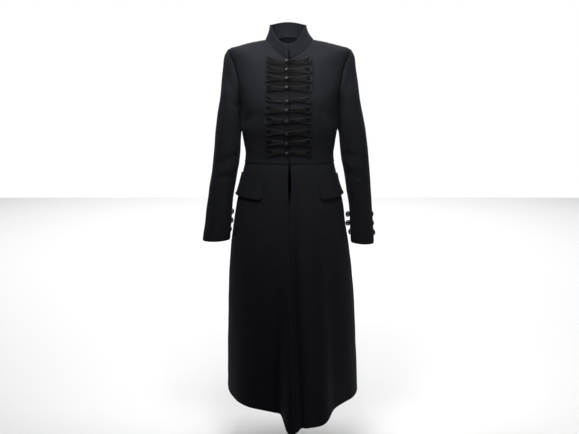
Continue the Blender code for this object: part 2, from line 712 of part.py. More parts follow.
def make_frog(side, number, row, tree, material):
    """One half of a frog: a flat loop of braid with a wide curl at its outer end."""
    name = SIDE_NAMES[side]
    lift = row.right_lift if side == RIGHT else row.left_lift
    sag = row.right_sag if side == RIGHT else row.left_sag
    route = closed_run(BUTTON_RUN if side == RIGHT else LOOP_RUN)
    centres = []
    normals = []
    for cord in route:
        far = max(cord.out, 0) / BUTTON_RUN[-1].out
        z = row.z + cord.up + lift * far ** CURL_POWER - sag * math.sin(math.pi * far)
        point, normal = cloth_under(tree, side * cord.out, z)
        centres.append(point + normal * (CORD_CLEARANCE + CORD_HALF_HEIGHT))
        normals.append(normal)
    make_cord_ring(f"frog_{name}_{number:02d}", centres, normals, [c.half_width for c in route], material)


def make_button(name, foot, normal, outline, top, material):
    """A domed button on its shank, turned about the cloth's normal."""
    across = normal.cross(Vector((0, 0, 1))).normalized()
    up = across.cross(normal)
    points = []
    for radius, height in outline:
        for k in range(BUTTON_SIDES):
            turn = 2 * math.pi * k / BUTTON_SIDES
            out = across * math.cos(turn) + up * math.sin(turn)
            points.append(foot + normal * height + out * radius)
    points += [foot + normal * outline[0][1], foot + normal * top]
    bottom = len(outline) * BUTTON_SIDES
    faces = []
    for k in range(BUTTON_SIDES):
        m = (k + 1) % BUTTON_SIDES
        for start in range(0, bottom - BUTTON_SIDES, BUTTON_SIDES):
            over = start + BUTTON_SIDES
            faces.append((start + k, start + m, over + m, over + k))
        faces.append((bottom, m, k))
        faces.append((bottom + 1, bottom - BUTTON_SIDES + k, bottom - BUTTON_SIDES + m))
    mesh = bpy.data.meshes.new(name)
    mesh.from_pydata(points, [], faces)
    turn_outward(mesh)
    return make_object(name, mesh, material)


def cuff_cord_place(side, out, down, frog):
    """A point of the sleeve or, past the place where a frog's end leaves it, of the way straight on."""
    turn = 3 * QUARTER + min(max(out, -CUFF_LEAVE_OUT), CUFF_LEAVE_OUT) / CUFF_RADIUS
    point = sleeve_point(side, turn, down)
    normal = normal_of(sleeve_point, side, turn, down)
    if abs(out) > CUFF_LEAVE_OUT:
        toward = math.copysign(1, out)
        ahead = sleeve_point(side, turn + SLOPE_STEP, down) - sleeve_point(side, turn - SLOPE_STEP, down)
        ahead = ahead.normalized() * toward
        edge = sleeve_point(side, 0 if toward > 0 else 2 * QUARTER, down)
        reach = frog.outer_reach if toward > 0 else frog.inner_reach
        length = (abs(edge.x - point.x) + reach) / abs(ahead.x)
        share = (abs(out) - CUFF_LEAVE_OUT) / (CUFF_RUN[-1].out - CUFF_LEAVE_OUT)
        point += ahead * length * share
    return point, normal


def make_cuff_trim(side, number, frog, braid, button):
    """A frog round the back of a cuff, and its button."""
    name = SIDE_NAMES[side]
    middle = cuff_of(side) - frog.rise
    route = closed_run(CUFF_RUN)
    centres = []
    normals = []
    for cord in route:
        point, normal = cuff_cord_place(side, cord.out, middle - cord.up, frog)
        centres.append(point + normal * (CUFF_CLEARANCE + CORD_HALF_HEIGHT))
        normals.append(normal)
    make_cord_ring(f"cuff_frog_{name}_{number}", centres, normals, [c.half_width for c in route], braid)
    foot, normal = cuff_cord_place(side, 0, middle, frog)
    make_button(f"cuff_button_{name}_{number}", foot, normal, CUFF_BUTTON_OUTLINE, CUFF_BUTTON_TOP, button)


def main():
    for item in list(bpy.data.objects):
        bpy.data.objects.remove(item)
    wool = make_material("wool", WOOL_COLOUR, WOOL_ROUGHNESS)
    braid = make_material("braid", BRAID_COLOUR, BRAID_ROUGHNESS)
    button = make_material("button", BUTTON_COLOUR, BUTTON_ROUGHNESS)
    fronts = []
    for side in (RIGHT, LEFT):
        make_skirt(side, wool)
        fronts.append(make_bodice(side, wool)[0])
        make_sleeves(side, wool)
    make_collar(wool)
    for flap in FLAPS:
        make_flap(flap, wool)
    tree = tree_of(fronts)
    for number, row in enumerate(FROG_ROWS, 1):
        for side in (RIGHT, LEFT):
            make_frog(side, number, row, tree, braid)
        foot, normal = cloth_under(tree, -BUTTON_PLACE, row.z)
        make_button(f"button_{number:02d}", foot, normal, BUTTON_OUTLINE, BUTTON_TOP, button)
    for side in (RIGHT, LEFT):
        for number, frog in enumerate(CUFF_FROGS[side], 1):
            make_cuff_trim(side, number, frog, braid, button)


main()
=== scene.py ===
# %% [markdown]
# # A long coat with a stand collar and braided frogs
# The coat is heavy black wool, cut close to the waist and then flared to a long hem that hangs open at the
# front. A tailor would cut it flat, sew the pieces and press them over a form. Here each cut piece becomes
# one thin sheet of cloth on the same body form as the solids. The sheets meet along the real seams, apart
# from the front of the armholes, where the sleeve stands up to 10 mm in front of the bodice.

# %% Load the frame
import json
import math
from bisect import bisect_right
from collections import namedtuple

import bpy
import numpy as np
from mathutils import Matrix, Vector, noise
from mathutils.bvhtree import BVHTree

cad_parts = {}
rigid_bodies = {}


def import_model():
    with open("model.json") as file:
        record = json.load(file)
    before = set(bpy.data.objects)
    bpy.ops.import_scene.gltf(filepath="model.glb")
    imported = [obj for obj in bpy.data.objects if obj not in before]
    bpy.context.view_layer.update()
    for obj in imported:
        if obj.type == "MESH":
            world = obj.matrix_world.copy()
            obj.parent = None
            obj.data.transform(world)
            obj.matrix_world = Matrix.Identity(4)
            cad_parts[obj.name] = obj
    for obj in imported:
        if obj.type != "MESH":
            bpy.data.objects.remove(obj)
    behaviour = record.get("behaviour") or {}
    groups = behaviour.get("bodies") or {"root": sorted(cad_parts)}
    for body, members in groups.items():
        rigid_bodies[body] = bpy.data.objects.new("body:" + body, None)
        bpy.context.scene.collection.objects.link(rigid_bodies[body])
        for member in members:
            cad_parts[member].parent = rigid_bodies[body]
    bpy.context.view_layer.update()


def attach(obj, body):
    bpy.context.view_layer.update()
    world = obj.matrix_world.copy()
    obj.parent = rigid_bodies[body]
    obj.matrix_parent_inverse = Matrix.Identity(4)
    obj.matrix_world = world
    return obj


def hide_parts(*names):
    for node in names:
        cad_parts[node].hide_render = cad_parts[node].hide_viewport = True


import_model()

# %% [markdown]
# ## The body form
# A coat's shape is easiest to see as rings round the wearer. Each row below is one ring: how high it is at
# the side, front and back, how wide and deep it is, how square, and how far it is shifted sideways. A smooth
# curve through each column gives the rings between, so a short table gives a surface that looks pressed.

# %% Rings round the body
RIGHT = -1
LEFT = 1
SIDE_NAMES = {RIGHT: "right", LEFT: "left"}
QUARTER = math.pi / 2
FULL = 2 * math.pi

HEM = -1.190
WAIST = -0.395
UNDERARM = -0.225
TIP = -0.030
NECK = 0.090

Ring = namedtuple("Ring", "station z_side z_front z_back half_width front back squareness shift")
BODY_RINGS = [
    Ring(HEM, -1.180, -1.188, -1.188, 0.2275, 0.226, 0.232, 2.05, 0.010),
    Ring(-1.035, -1.035, -1.035, -1.035, 0.2230, 0.208, 0.217, 2.05, 0.008),
    Ring(-0.861, -0.861, -0.861, -0.861, 0.2165, 0.184, 0.196, 2.05, 0.006),
    Ring(-0.712, -0.712, -0.712, -0.712, 0.2050, 0.158, 0.170, 2.10, 0.002),
    Ring(-0.586, -0.586, -0.586, -0.586, 0.1875, 0.132, 0.140, 2.15, 0.000),
    Ring(-0.524, -0.524, -0.524, -0.524, 0.1770, 0.121, 0.124, 2.15, 0.001),
    Ring(-0.470, -0.470, -0.470, -0.470, 0.1650, 0.113, 0.106, 2.15, 0.000),
    Ring(-0.430, -0.430, -0.430, -0.430, 0.1570, 0.108, 0.093, 2.20, 0.000),
    Ring(WAIST, -0.395, -0.395, -0.395, 0.1495, 0.104, 0.084, 2.20, 0.000),
    Ring(-0.362, -0.362, -0.362, -0.362, 0.1470, 0.105, 0.082, 2.25, 0.000),
    Ring(-0.325, -0.325, -0.325, -0.325, 0.1525, 0.112, 0.086, 2.30, 0.000),
    Ring(-0.285, -0.285, -0.285, -0.285, 0.1580, 0.122, 0.094, 2.40, 0.000),
    Ring(UNDERARM, -0.225, -0.228, -0.225, 0.1585, 0.131, 0.108, 2.50, 0.000),
    Ring(-0.175, -0.175, -0.195, -0.180, 0.1680, 0.129, 0.116, 2.60, 0.000),
    Ring(-0.125, -0.125, -0.163, -0.137, 0.1780, 0.122, 0.118, 2.60, 0.000),
    Ring(-0.075, -0.074, -0.132, -0.094, 0.1900, 0.111, 0.111, 2.55, 0.000),
    Ring(TIP, -0.027, -0.106, -0.054, 0.1975, 0.099, 0.098, 2.50, 0.000),
    Ring(0.005, -0.0150, -0.088, -0.027, 0.1640, 0.089, 0.083, 2.40, 0.000),
    Ring(0.045, -0.0045, -0.072, -0.003, 0.1230, 0.079, 0.069, 2.20, 0.000),
    Ring(NECK, 0.0040, -0.058, 0.017, 0.0790, 0.069, 0.056, 2.00, 0.000),
]


def curves_of(table):
    """Each named column of a table as stations, values and slopes."""
    stations = np.array([row[0] for row in table])
    curves = {}
    for name in table[0]._fields[1:]:
        values = np.array([getattr(row, name) for row in table])
        curves[name] = (stations, values, np.gradient(values, stations))
    return curves


def read_curve(curve, station):
    """The value of a curve at a station, on a cubic through the table's rows."""
    stations, values, slopes = curve
    i = min(max(bisect_right(stations, station) - 1, 0), len(stations) - 2)
    span = stations[i + 1] - stations[i]
    t = (station - stations[i]) / span
    rise = values[i + 1] - values[i]
    first = slopes[i] * span - rise
    last = rise - slopes[i + 1] * span
    return float(values[i] + t * rise + t * (1 - t) * ((1 - t) * first + t * last))


def smooth_step(low, high, value):
    """0 at low, 1 at high, with level ends. low may be above high, and value may be an array."""
    t = np.clip((value - low) / (high - low), 0, 1)
    return t * t * (3 - 2 * t)


BODY_CURVES = curves_of(BODY_RINGS)


def ring_at(station):
    """The body's ring at a station."""
    return Ring(station, *(read_curve(BODY_CURVES[name], station) for name in Ring._fields[1:]))


def points_on_ring(ring, side, angles):
    """A ring's points and the ways out from its middle, at angles from the centre front."""
    across = np.sin(angles)
    along = np.cos(angles)
    depth = np.where(along > 0, ring.front, ring.back)
    z_middle = np.where(along > 0, ring.z_front, ring.z_back)
    n = ring.squareness
    reach = ((np.abs(across) / ring.half_width) ** n + (np.abs(along) / depth) ** n) ** (-1 / n)
    outs = np.stack([side * across, -along, np.zeros_like(across)], axis=-1)
    points = outs * reach[..., None]
    points[..., 0] += ring.shift
    points[..., 2] = z_middle + (ring.z_side - z_middle) * across ** 2
    return points, outs


print("body rings:", len(BODY_RINGS))

# %% [markdown]
# ## How the skirt falls
# Below the hips the skirt is held by nothing, so it swings out in a few broad folds that start at nothing and
# are deepest at the hem. Both front edges fall forward in a low wave, with a second, wider one on the
# wearer's left. The wearer's left front is tucked a little under the right one, as a lap needs.

# %% Folds, the front edges and the lap
Fold = namedtuple("Fold", "side place half_spread swell dip top power")
FOLDS = [
    Fold(RIGHT, 0.0, 6.2, 0.078, 0.036, -0.62, 1.9),
    Fold(LEFT, 0.0, 6.0, 0.078, 0.036, -0.62, 1.9),
    Fold(LEFT, 12.0, 16.0, 0.056, 0.026, -0.62, 1.9),
    Fold(RIGHT, 44.0, 13.0, 0.007, 0.000, -0.60, 1.3),
    Fold(LEFT, 66.0, 12.0, 0.006, 0.000, -0.60, 1.3),
    Fold(RIGHT, 121.0, 11.0, 0.014, 0.004, -0.50, 1.3),
    Fold(LEFT, 115.0, 13.0, 0.011, 0.003, -0.50, 1.3),
    Fold(RIGHT, 156.0, 10.0, 0.015, 0.005, -0.46, 1.3),
    Fold(LEFT, 150.0, 12.0, 0.017, 0.005, -0.46, 1.3),
]
FOLD_BLEND = 6

TUCK_DEPTH = 0.0052
TUCK_FROM = -0.440
TUCK_TO = -0.508
TUCK_DEEPER = 0.0050
TUCK_DEEP_FROM = -0.540
TUCK_DEEP_TO = -0.780
TUCK_FLAT = 0.011
TUCK_END = 0.037

Edge = namedtuple("Edge", "z right left")
OPENING = [
    Edge(-1.190, 0.0060, -0.0085),
    Edge(-0.900, 0.0030, -0.0085),
    Edge(-0.620, -0.0010, -0.0080),
    Edge(-0.560, -0.0020, -0.0060),
    Edge(-0.516, -0.0024, 0.0004),
    Edge(-0.490, -0.0040, 0.0040),
    Edge(-0.450, -0.0060, 0.0060),
    Edge(-0.415, -0.0030, 0.0030),
    Edge(WAIST, -0.0012, 0.0012),
    Edge(-0.360, -0.0004, 0.0004),
    Edge(-0.262, -0.0004, 0.0004),
    Edge(-0.240, -0.0006, 0.0018),
    Edge(-0.225, -0.0004, 0.0010),
    Edge(-0.206, -0.0006, 0.0020),
    Edge(-0.180, -0.0004, 0.0004),
    Edge(-0.082, -0.0004, 0.0004),
    Edge(-0.073, -0.0014, 0.0016),
    Edge(-0.066, -0.0036, 0.0040),
    Edge(-0.058, -0.0042, 0.0046),
    Edge(-0.046, -0.0030, 0.0034),
    Edge(-0.034, -0.0018, 0.0020),
    Edge(-0.022, -0.0004, 0.0004),
    Edge(-0.013, -0.0008, 0.0008),
]


def body_row(side, angles, station):
    """Points of the coat's outer face along one station."""
    ring = ring_at(station)
    points, outs = points_on_ring(ring, side, angles)
    swell = np.zeros_like(angles)
    dip = np.zeros_like(angles)
    for fold in FOLDS:
        if fold.side == side and station < fold.top:
            grown = ((fold.top - station) / (fold.top - HEM)) ** fold.power
            away = (np.degrees(angles) - fold.place) / fold.half_spread
            wave = grown / (1 + away ** 4)
            swell += (fold.swell * wave) ** FOLD_BLEND
            dip += (fold.dip * wave) ** FOLD_BLEND
    move = swell ** (1 / FOLD_BLEND)
    if side == LEFT and station < TUCK_FROM:
        across = np.abs(points[..., 0] - ring.shift)
        tuck = TUCK_DEPTH * smooth_step(TUCK_FROM, TUCK_TO, station)
        tuck += TUCK_DEEPER * smooth_step(TUCK_DEEP_FROM, TUCK_DEEP_TO, station)
        tuck = tuck * smooth_step(TUCK_END, TUCK_FLAT, across)
        move = move - np.where(np.abs(angles) < QUARTER, tuck, 0)
    points += outs * move[..., None]
    points[..., 2] -= dip ** (1 / FOLD_BLEND)
    return points


def edge_place(side, z):
    """How far across a front's edge lies at a height."""
    heights = [edge.z for edge in OPENING]
    places = [edge.right if side == RIGHT else edge.left for edge in OPENING]
    return float(np.interp(z, heights, places))


def edge_angle(side, station):
    """The angle at which a front ends, negative where it laps over the middle."""
    ring = ring_at(station)
    return math.asin(side * edge_place(side, ring.z_front) / ring.front)


print("folds:", len(FOLDS), "edge heights:", len(OPENING))

# %% [markdown]
# ## Seams between the pieces
# The armhole is a curve on the same form: it leaves the shoulder tip, bites into the front and the back, and
# closes under the arm. Above it the panels end at the shoulder seam and below it at the side seam, so one
# function of height gives a panel's whole outer edge.

# %% Armhole, side and back seams
ARMHOLE_FRONT = math.radians(20.0)
ARMHOLE_BACK = math.radians(18.5)


def armhole_angle(turn):
    """The body's angle on the armhole. turn is 0 at the shoulder tip and 90 degrees at the front."""
    reach = ARMHOLE_FRONT if math.sin(turn) > 0 else -ARMHOLE_BACK
    return QUARTER - reach * abs(math.sin(turn))


def armhole_station(turn):
    """The body's station on the armhole."""
    return UNDERARM + (TIP - UNDERARM) * (1 + math.cos(turn)) / 2


def side_angle(station, front):
    """Where a bodice panel ends: the side seam, the armhole, then the shoulder seam."""
    toward = -1 if front else 1
    height = min(max(2 * (station - UNDERARM) / (TIP - UNDERARM) - 1, -1), 1)
    bite = math.sqrt(1 - height ** 2) * (ARMHOLE_FRONT if front else ARMHOLE_BACK)
    return QUARTER + toward * bite


def back_edge_angle(_station):
    """Where a back half ends at the centre-back seam: the same at every station."""
    return math.pi


ARM_PAD = 0.0100
ARM_PAD_SPREAD = 0.027
ARM_PAD_TOP = -0.026
ARM_PAD_LOW = -0.205
ARM_PAD_FULL = -0.150
ARM_PAD_HIGH = -0.052


def shoulder_pad(seam_z, distance):
    """How far the front of a sleeve is held forward below its seam. The bodice isn't, so the seam is open."""
    share = smooth_step(ARM_PAD_LOW, ARM_PAD_FULL, seam_z) * smooth_step(ARM_PAD_TOP, ARM_PAD_HIGH, seam_z)
    return ARM_PAD * share * np.exp(-(distance / ARM_PAD_SPREAD) ** 2)


def armhole_point(side, turn):
    """A point of the armhole seam on the body."""
    return body_row(side, np.array([armhole_angle(turn)]), armhole_station(turn))[0]


print("armhole from", round(UNDERARM, 3), "to", round(TIP, 3))

# %% [markdown]
# ## Cloth as a grid
# A sheet starts as Blender's grid primitive, because a grid is woven the way cloth is: its columns are the
# warp and its rows the weft. Its points are then laid on the form, pushed out or in by the creases, and a
# Solidify modifier gives the cloth its thickness. The grid's UV map is set to metres of cloth, so the weave
# keeps its true scale on every piece. Cut edges are rolled in over a few millimetres, which is what makes a
# pressed wool edge look soft and lets a seam read as a thin valley.

# %% Sheet helpers
BODY_CLOTH = 0.0030
SLEEVE_CLOTH = 0.0025
COLLAR_CLOTH = 0.0035
FLAP_CLOTH = 0.0030

ROLL_WIDTH = 0.0026
EDGE_ROLL = 0.0012
LAP_ROLL = 0.0020
SEAM_ROLL = 0.0009
WELT_ROLL = 0.0002
ARM_TOUCH = 0.0022
ARM_TOUCH_TOP = -0.212
ARM_TOUCH_LOW = -0.286
UNDER_WELT_ROLL = 0.0022
LAP_FOLD = 0.0032
LAP_FOLD_IN = 0.0040
LAP_FOLD_HALF_WIDTH = 0.0042
WELT_HEIGHT = 0.0011
WELT_UP = 0.0046
WELT_HALF_WIDTH = 0.0030
ARM_ROLL = 0.0003
EDGE_STEPS = (0.0008, 0.0018, 0.0032, 0.0052)
CLOTH_SMOOTH_ANGLE = math.radians(50)
UPRIGHT = np.array([0, 0, 1.0])
LEVEL = np.array([1, 1, 0])


def deselect():
    """Nothing selected, and Object mode."""
    if bpy.context.mode != "OBJECT":
        bpy.ops.object.mode_set(mode="OBJECT")
    bpy.ops.object.select_all(action="DESELECT")


def spaced(length, step):
    """Shares from 0 to 1 along a length, crowded at both ends for the rolled edges."""
    ends = [d / length for d in EDGE_STEPS]
    count = max(int((length - 2 * EDGE_STEPS[-1]) / step), 2)
    middle = np.linspace(ends[-1], 1 - ends[-1], count + 1)
    return np.array([0.0] + ends[:-1] + list(middle) + [1 - e for e in reversed(ends[:-1])] + [1.0])


def lengths_along(points, axis):
    """Distances along a grid's rows or columns."""
    steps = np.linalg.norm(np.diff(points, axis=axis), axis=-1)
    start = np.zeros_like(np.take(steps, [0], axis=axis))
    return np.concatenate([start, np.cumsum(steps, axis=axis)], axis=axis)


def grid_normals(points, middles):
    """Unit normals of a grid of points, pointing away from the middles."""
    down = np.gradient(points, axis=0)
    across = np.gradient(points, axis=1)
    normals = np.cross(across, down)
    normals /= np.maximum(np.linalg.norm(normals, axis=-1, keepdims=True), 1e-12)
    outward = np.sum(normals * (points - middles))
    return normals * (1 if outward > 0 else -1)


def roll_edges(points, rolls):
    """How far each point is rolled in. rolls: depths at the first and last column, first and last row."""
    across = lengths_along(points, 1)
    down = lengths_along(points, 0)
    distances = (across, across[:, -1:] - across, down, down[-1:] - down)
    return sum(depth * np.exp(-(d / ROLL_WIDTH) ** 2) for depth, d in zip(rolls, distances))


def lay_grid(name, points, faces_out, material):
    """A grid primitive laid on points, its UV map in metres, its faces pointing out."""
    rows, columns = points.shape[:2]
    deselect()
    bpy.ops.mesh.primitive_grid_add(x_subdivisions=columns - 1, y_subdivisions=rows - 1, size=1)
    piece = bpy.context.object
    piece.name = name
    piece.data.name = name
    mesh = piece.data
    mesh.vertices.foreach_set("co", points.reshape(-1))
    metres = np.stack([lengths_along(points, 1), lengths_along(points, 0)], axis=-1).reshape(-1, 2)
    corner = np.empty(len(mesh.loops), dtype=np.int32)
    mesh.loops.foreach_get("vertex_index", corner)
    mesh.uv_layers.active.data.foreach_set("uv", metres[corner].astype(np.float32).reshape(-1))
    mesh.update()
    middle_face = mesh.polygons[len(mesh.polygons) // 2]
    if middle_face.normal.dot(Vector(faces_out)) < 0:
        bpy.ops.object.mode_set(mode="EDIT")
        bpy.ops.mesh.select_all(action="SELECT")
        bpy.ops.mesh.flip_normals()
        bpy.ops.object.mode_set(mode="OBJECT")
    mesh.materials.append(material)
    return piece


def thicken(piece, thickness):
    """Gives a sheet its thickness inward, and smooth shading."""
    solidify = piece.modifiers.new("thickness", "SOLIDIFY")
    solidify.thickness = thickness
    solidify.offset = -1
    bpy.context.view_layer.objects.active = piece
    bpy.ops.object.modifier_apply(modifier=solidify.name)
    piece.select_set(True)
    bpy.ops.object.shade_smooth_by_angle(angle=CLOTH_SMOOTH_ANGLE)
    piece.select_set(False)


Bumps = namedtuple("Bumps", "size height")
BODY_BUMPS = Bumps(0.055, 0.0011)
SLEEVE_BUMPS = Bumps(0.05, 0.0010)
COLLAR_BUMPS = Bumps(0.045, 0.0007)
FLAP_BUMPS = Bumps(0.03, 0.0005)


def unevenness(points, seed, bumps):
    """Slow, small bumps, the same each time."""
    size, height = bumps
    flat = points.reshape(-1, 3) / size
    values = [noise.noise(Vector((p[0] + seed, p[1], p[2]))) for p in flat]
    return height * np.array(values).reshape(points.shape[:2])


print("sheet helpers ready")

# %% [markdown]
# ## Creases
# Each crease is a soft trough or ridge along a line, placed where the cloth shows one: a break at
# the armholes, a drag above the waist seam, the long soft ridge down the wearer's left front. A line has a
# width and a height, and dies away at its ends. The back isn't in the photo, so its creases are guessed.

# %% Creases
Crease = namedtuple("Crease", "x0 z0 x1 z1 half_width height")
FRONT_CREASES = {
    RIGHT: [
        Crease(-0.152, -0.170, -0.150, -0.235, 0.010, -0.0022),
        Crease(-0.140, -0.130, -0.124, -0.225, 0.015, 0.0020),
        Crease(-0.150, -0.262, -0.098, -0.232, 0.014, -0.0030),
        Crease(-0.140, -0.340, -0.060, -0.372, 0.010, 0.0012),
        Crease(-0.034, -0.880, -0.037, -1.240, 0.008, -0.0065),
        Crease(-0.110, -0.640, -0.128, -1.150, 0.026, 0.0030),
        Crease(-0.160, -0.520, -0.150, -0.760, 0.020, 0.0020),
    ],
    LEFT: [
        Crease(0.152, -0.170, 0.150, -0.230, 0.010, -0.0022),
        Crease(0.139, -0.125, 0.125, -0.215, 0.015, 0.0018),
        Crease(0.150, -0.250, 0.104, -0.226, 0.013, -0.0022),
        Crease(0.138, -0.345, 0.062, -0.372, 0.010, 0.0012),
        Crease(0.036, -0.620, 0.046, -1.200, 0.020, 0.0055),
        Crease(0.076, -0.640, 0.088, -1.200, 0.017, -0.0035),
        Crease(0.090, -0.560, 0.124, -1.200, 0.018, 0.0060),
        Crease(0.134, -0.700, 0.158, -1.180, 0.020, -0.0035),
        Crease(0.098, -0.632, 0.130, -0.656, 0.009, -0.0030),
        Crease(0.165, -0.520, 0.160, -0.780, 0.020, 0.0020),
    ],
}
BACK_CREASES = {
    RIGHT: [
        Crease(-0.152, -0.110, -0.138, -0.225, 0.011, -0.0035),
        Crease(-0.120, -0.330, -0.030, -0.372, 0.012, 0.0016),
        Crease(-0.140, -0.300, -0.070, -0.345, 0.010, -0.0012),
        Crease(-0.030, -0.052, -0.110, -0.085, 0.016, 0.0012),
        Crease(-0.060, -0.560, -0.085, -1.180, 0.022, -0.0040),
    ],
    LEFT: [
        Crease(0.153, -0.105, 0.140, -0.220, 0.011, -0.0035),
        Crease(0.118, -0.322, 0.034, -0.370, 0.012, 0.0018),
        Crease(0.136, -0.292, 0.066, -0.340, 0.010, -0.0012),
        Crease(0.034, -0.055, 0.115, -0.090, 0.016, 0.0012),
        Crease(0.052, -0.540, 0.072, -1.180, 0.022, -0.0040),
    ],
}


FADE_START = -0.35
FADE_WHOLE = 0.2
FADE_ENDING = 0.8
FADE_END = 1.35


def crease_relief(across, down, creases):
    """The height of a list of creases at each place."""
    relief = np.zeros_like(across)
    for crease in creases:
        along = np.array([crease.x1 - crease.x0, crease.z1 - crease.z0])
        length = np.linalg.norm(along)
        along = along / length
        dx = across - crease.x0
        dz = down - crease.z0
        run = dx * along[0] + dz * along[1]
        off = dx * along[1] - dz * along[0]
        fade = smooth_step(FADE_START * length, FADE_WHOLE * length, run)
        fade = fade * smooth_step(FADE_END * length, FADE_ENDING * length, run)
        relief += crease.height * np.exp(-(off / crease.half_width) ** 2) * fade
    return relief


PUCKER_LENGTH = 0.019
PUCKER_HEIGHT = 0.00035
PUCKER_REACH = 0.012
SLOW_WANDER = 1.7
SLOW_LENGTH = 0.071
QUICK_WANDER = 1.1
QUICK_LENGTH = 0.029


def seam_pucker(points, seams, seed):
    """The slight gathering beside sewn seams. seams says which of the four edges are sewn."""
    across = lengths_along(points, 1)
    down = lengths_along(points, 0)
    pairs = (
        (across, down), (across[:, -1:] - across, down),
        (down, across), (down[-1:] - down, across),
    )
    relief = np.zeros(points.shape[:2])
    for sewn, (away, along) in zip(seams, pairs):
        if sewn:
            wander = SLOW_WANDER * np.sin(along / SLOW_LENGTH + seed)
            wander = wander + QUICK_WANDER * np.sin(along / QUICK_LENGTH + 2 * seed)
            wave = np.sin(FULL * along / PUCKER_LENGTH + wander)
            relief += PUCKER_HEIGHT * wave * np.exp(-(away / PUCKER_REACH) ** 2)
    return relief


print("creases:", sum(len(c) for c in list(FRONT_CREASES.values()) + list(BACK_CREASES.values())))

# %% [markdown]
# ## Cloth and trim finishes
# The wool is a fulled coating cloth: near black with a cold tint, matte, with a short nap that catches light
# at a slant. The nap is a fine bump and a sheen, and a faint twill shows close up. Round the frogs the wool's
# colour is darkened as painted shade, standing in for the shadow of the cords. The cords are silky: their
# twist is a diagonal stripe along each cord, a bump whose grooves are also painted darker as painted shade.
# The buttons are smooth and dark and carry a small highlight.

# %% Materials


def shader_of(material):
    return material.node_tree.nodes["Principled BSDF"]


def add_node(material, kind, **values):
    """A node with its plain inputs set by name."""
    node = material.node_tree.nodes.new(kind)
    for key, value in values.items():
        if key in node.inputs:
            node.inputs[key].default_value = value
        else:
            setattr(node, key, value)
    return node


def new_material(name, roughness):
    material = bpy.data.materials.new(name)
    material.use_nodes = True
    shader_of(material).inputs["Roughness"].default_value = roughness
    return material


def tint_between(material, dark, light, factor, low=0.3, high=0.7):
    """A colour between two, by a node's output, into the base colour."""
    ramp = material.node_tree.nodes.new("ShaderNodeValToRGB")
    ramp.color_ramp.elements[0].color = dark
    ramp.color_ramp.elements[1].color = light
    ramp.color_ramp.elements[0].position = low
    ramp.color_ramp.elements[1].position = high
    material.node_tree.links.new(factor, ramp.inputs["Fac"])
    material.node_tree.links.new(ramp.outputs["Color"], shader_of(material).inputs["Base Color"])


def make_wool():
    """Fulled coating wool: a nap over a faint twill, its colour darkened round the frogs as painted shade."""
    material = new_material("coat_wool", 0.82)
    links = material.node_tree.links
    shader = shader_of(material)
    shader.inputs["Sheen Weight"].default_value = 0.013
    shader.inputs["Sheen Roughness"].default_value = 0.5
    shader.inputs["Sheen Tint"].default_value = (0.80, 0.84, 1.0, 1)
    shader.inputs["Specular IOR Level"].default_value = 0.055
    uv = add_node(material, "ShaderNodeUVMap")
    patches = add_node(material, "ShaderNodeTexNoise", Scale=38.0, Detail=3.0)
    nap = add_node(material, "ShaderNodeTexNoise", Scale=1100.0, Detail=4.0, Roughness=0.65)
    twill = add_node(material, "ShaderNodeTexWave", Scale=190.0, Distortion=2.0)
    twill.bands_direction = "DIAGONAL"
    for texture in (patches, nap, twill):
        links.new(uv.outputs["UV"], texture.inputs["Vector"])
    # Painted shade: a point attribute darkens the wool round the frogs, in place of the shadow the cords
    # throw.
    worn = add_node(material, "ShaderNodeAttribute", attribute_name="worn")
    clouds = add_node(material, "ShaderNodeMath", operation="MULTIPLY_ADD")
    clouds.inputs[1].default_value = 0.22
    clouds.inputs[2].default_value = 0.46
    links.new(patches.outputs["Fac"], clouds.inputs[0])
    # The random tone minus the painted shade of the frogs.
    tone_less_shade = add_node(material, "ShaderNodeMath", operation="SUBTRACT")
    links.new(clouds.outputs["Value"], tone_less_shade.inputs[0])
    links.new(worn.outputs["Fac"], tone_less_shade.inputs[1])
    tint_between(
        material, (0.0002, 0.0002, 0.0003, 1), (0.0057, 0.0061, 0.0079, 1), tone_less_shade.outputs["Value"], 0.0, 0.75)
    mix = add_node(material, "ShaderNodeMath", operation="MULTIPLY_ADD")
    mix.inputs[1].default_value = 0.22
    links.new(twill.outputs["Fac"], mix.inputs[0])
    links.new(nap.outputs["Fac"], mix.inputs[2])
    bump = add_node(material, "ShaderNodeBump", Strength=0.55, Distance=0.0004)
    links.new(mix.outputs["Value"], bump.inputs["Height"])
    links.new(bump.outputs["Normal"], shader.inputs["Normal"])
    return material


CORD_TWIST = 0.0042


def make_braid():
    """Silky twisted cord: stripes on a slant to the cord's length, raised in the bump and painted darker in
    their grooves as painted shade.
    """
    material = new_material("frog_braid", 0.42)
    links = material.node_tree.links
    shader = shader_of(material)
    shader.inputs["Specular IOR Level"].default_value = 0.17
    uv = add_node(material, "ShaderNodeUVMap")
    turn = add_node(material, "ShaderNodeMapping")
    turn.inputs["Rotation"].default_value = (0, 0, math.radians(38))
    stripes = add_node(material, "ShaderNodeTexWave", Scale=1 / CORD_TWIST, Distortion=0.6)
    fibres = add_node(material, "ShaderNodeTexNoise", Scale=700.0, Detail=3.0)
    links.new(uv.outputs["UV"], turn.inputs["Vector"])
    links.new(turn.outputs["Vector"], stripes.inputs["Vector"])
    links.new(turn.outputs["Vector"], fibres.inputs["Vector"])
    # Painted shade: the stripes darken the colour where the bump is low, in the grooves of the twist.
    tint_between(material, (0.0002, 0.0002, 0.0003, 1), (0.0016, 0.0017, 0.0022, 1), stripes.outputs["Fac"])
    mix = add_node(material, "ShaderNodeMath", operation="MULTIPLY_ADD")
    mix.inputs[1].default_value = 0.25
    links.new(fibres.outputs["Fac"], mix.inputs[0])
    links.new(stripes.outputs["Fac"], mix.inputs[2])
    bump = add_node(material, "ShaderNodeBump", Strength=0.8, Distance=0.0005)
    links.new(mix.outputs["Value"], bump.inputs["Height"])
    links.new(bump.outputs["Normal"], shader.inputs["Normal"])
    return material


